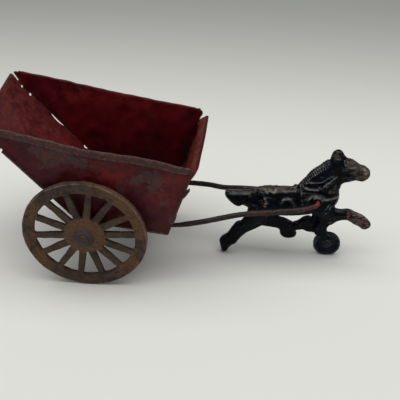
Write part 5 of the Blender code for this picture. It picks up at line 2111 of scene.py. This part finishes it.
    def build(self) -> None:
        """Make both halves, with one finish."""
        finish = HorseEnamel("worn_horse_enamel").build()
        for side in Side:
            piece = self.half_shape(side).to_object(f"{side.label}_horse_casting", finish, 60.0)
            settle(piece, "horse", Slot.HORSE, f"horse_half_{side.label}")


def pin_profile(head_r: float, head_t: float, shank_r: float, y_far: float) -> Array:
    """Profile of a hammered pin: a low uneven dome beyond each end of a plain shank.

    Args:
        head_r, head_t: radius and height of each head.
        shank_r: radius of the shank.
        y_far: half the length between the heads.

    Returns:
        Rows of (radius, y) from the far pole to the near one.
    """
    turn = np.linspace(0.0, math.pi / 2, 7)
    dome = np.stack([head_r * np.sin(turn), y_far + head_t * np.cos(turn) ** 0.8], 1)
    dome = np.vstack([dome, (head_r * 0.94, y_far)])
    shank = np.stack([np.full(9, shank_r), np.linspace(y_far, -y_far, 9)], 1)
    return np.vstack([dome, shank, dome[::-1] * (1.0, -1.0)])


@dataclass
class GuideWheel:
    """The small cast wheel under the chest: a rim, a dished web and a hub on each side."""

    radius: float = 9.4
    half_t: float = 1.8
    bore_r: float = 1.5
    hub_r: float = 3.0
    rim_inner_r: float = 7.5
    web_y: float = 1.1
    pin_r: float = 1.15
    pin_near: float = 2.1
    pin_far: float = 4.95
    pin_head_r: float = 2.2
    pin_head_t: float = 0.9

    def profile(self) -> Array:
        """Draw the wheel's section with its edges eased: bore, hub, web, rim and back again.

        Returns:
            Rows of (radius, y), closed round the bore.
        """
        half = [(self.bore_r, self.half_t), (self.hub_r, self.half_t), (self.hub_r + 0.6, self.web_y),
                (self.rim_inner_r - 0.5, self.web_y), (self.rim_inner_r, self.half_t),
                (self.radius, self.half_t)]
        back = [(r, -y) for r, y in reversed(half)]
        radii = [0.25, 0.4, 0.5, 0.4, 0.3, 0.7]
        line = rounded(half + back, radii + radii[::-1], 18.0)
        return resampled(np.vstack([line, line[:1]]), 0.45)[:-1]

    def build(self) -> None:
        """Make the wheel and the pin that it turns on."""
        x, z = GUIDE_CENTRE
        navy, black, sheen_slate = tone(9, 23, 38), tone(7, 14, 23), tone(80, 88, 90)
        enamel = HorseEnamel("worn_guide_enamel", navy=navy, black=black, sheen_slate=sheen_slate).build()
        shape = lathe(self.profile(), 72)
        r = np.hypot(shape.points[:, 0], shape.points[:, 2])
        shape = shape.roughened(0.04, 3.0, 41)
        # Worn brown rim edge and hub ring; painted sheen rings just inside the rim and round the hub; painted
        # shade in the recess inside the rim.
        shape.values["wear_and_sheen"] = 0.45 * bell(r - self.radius + 0.3, 0.6) + 0.3 * bell(r - self.hub_r, 0.5)
        shape.values["painted_sheen"] = 0.05 + 0.55 * bell(r - self.radius + 1.1, 0.7) + 0.4 * bell(r - self.hub_r, 0.6)
        shape.values["hollow"] = 0.5 * bell(r - self.rim_inner_r + 0.8, 0.8)
        piece = shape.moved(x=x, z=z).grounded().to_object("cast_guide_wheel", enamel, 50.0)
        settle(piece, "guide_wheel", Slot.GUIDE, "guide_wheel")
        steel = RubbedSteel("dark_pin_steel", tone(30, 30, 32), tone(14, 18, 23), tone(50, 54, 58)).build()
        middle, reach = (self.pin_far - self.pin_near) / 2, (self.pin_far + self.pin_near) / 2
        profile = pin_profile(self.pin_head_r, self.pin_head_t, self.pin_r, reach)
        pin = lathe(profile, 32).roughened(0.03, 1.4, 43).moved(x, middle, z)
        settle(pin.to_object("guide_wheel_pin_forged", steel), "horse", Slot.GUIDE, "guide_wheel_pin")


@dataclass
class Fastenings:
    """Axle, rivets and brackets."""

    axle_r: float = 2.0
    axle_head_r: float = 4.2
    axle_head_t: float = 1.62
    axle_reach: float = 51.2
    horse_rivet_r: float = 1.15
    horse_head_r: float = 2.0
    horse_head_t: float = 0.8
    floor_rivet_r: float = 1.15
    floor_head_r: float = 2.1
    floor_head_t: float = 0.9
    floor_head_low: float = -1.44
    floor_head_gap: float = 0.3

    def build(self) -> None:
        """Make the axle and every rivet, and finish the brackets' own meshes."""
        finish = RubbedSteel("rubbed_axle_steel").build()
        profile = pin_profile(self.axle_head_r, self.axle_head_t, self.axle_r, self.axle_reach)
        shape = lathe(profile, 48).roughened(0.06, 2.2, 5).moved(z=AXLE_Z)
        settle(shape.to_object("peened_axle", finish), "shaft_frame", Slot.AXLE, "axle")
        self.rivet_horse()
        self.rivet_floor()

    def rivet_horse(self) -> None:
        """Make the two rivets that hold the horse's halves together."""
        finish = HorseEnamel("enamelled_rivet").build()
        for place, (x, z, reach) in HORSE_RIVETS.items():
            profile = pin_profile(self.horse_head_r, self.horse_head_t, self.horse_rivet_r, reach)
            shape = lathe(profile, 32).roughened(0.03, 1.6, 47)
            shape.values["wear_and_sheen"] = 0.4 * ease((np.abs(shape.points[:, 1]) - reach) / self.horse_head_t)
            piece = shape.moved(x=x, z=z).to_object(f"{place}_horse_rivet_hammered", finish)
            settle(piece, "horse", Slot.HORSE, f"horse_rivet_{place}")

    def rivet_floor(self) -> None:
        """Make the four rivets through the floor and its brackets, square to the sloping floor."""
        finish = RubbedSteel("rusty_bracket_steel", rust=tone(74, 52, 42), dark=tone(42, 34, 32)).build()
        box = CartBox()
        _, way = box.ways(3, 2)
        normal = np.array([-way[1], way[0]])
        lean = np.array([[way[0], normal[0], 0.0], [0.0, 0.0, 1.0], [way[1], normal[1], 0.0]])
        low, high = self.floor_head_low, box.sheet_t + self.floor_head_gap
        middle, reach = (low + high) / 2, (high - low) / 2
        profile = pin_profile(self.floor_head_r, self.floor_head_t, self.floor_rivet_r, reach)
        shape = lathe(profile, 28).roughened(0.03, 1.2, 53).turned(lean)
        for place, foot in box.rivet_spots().items():
            x, z = foot + normal * middle
            for side in Side:
                placed = shape.moved(x, side.value * FLOOR_RIVET_Y, z)
                piece = placed.to_object(f"{side.label}_{place}_floor_rivet", finish)
                settle(piece, "cart_box", Slot.BRACKET, f"bracket_rivet_{side.label}_{place}")
        for side in Side:
            node = frame["nodes"][f"axle_bracket_{side.label}"]
            for slot in node.material_slots:
                slot.material = finish
            LOG.info("%s keeps its mesh and gets rusty steel", node.name)


def main() -> None:
    """Build the stage and every piece in order."""
    logging.basicConfig(level=logging.INFO, format="%(message)s")
    Stage().build()
    CartWheel().build()
    CartBox().build()
    Shafts().build()
    CastHorse().build()
    GuideWheel().build()
    Fastenings().build()


if __name__ == "__main__":
    main()
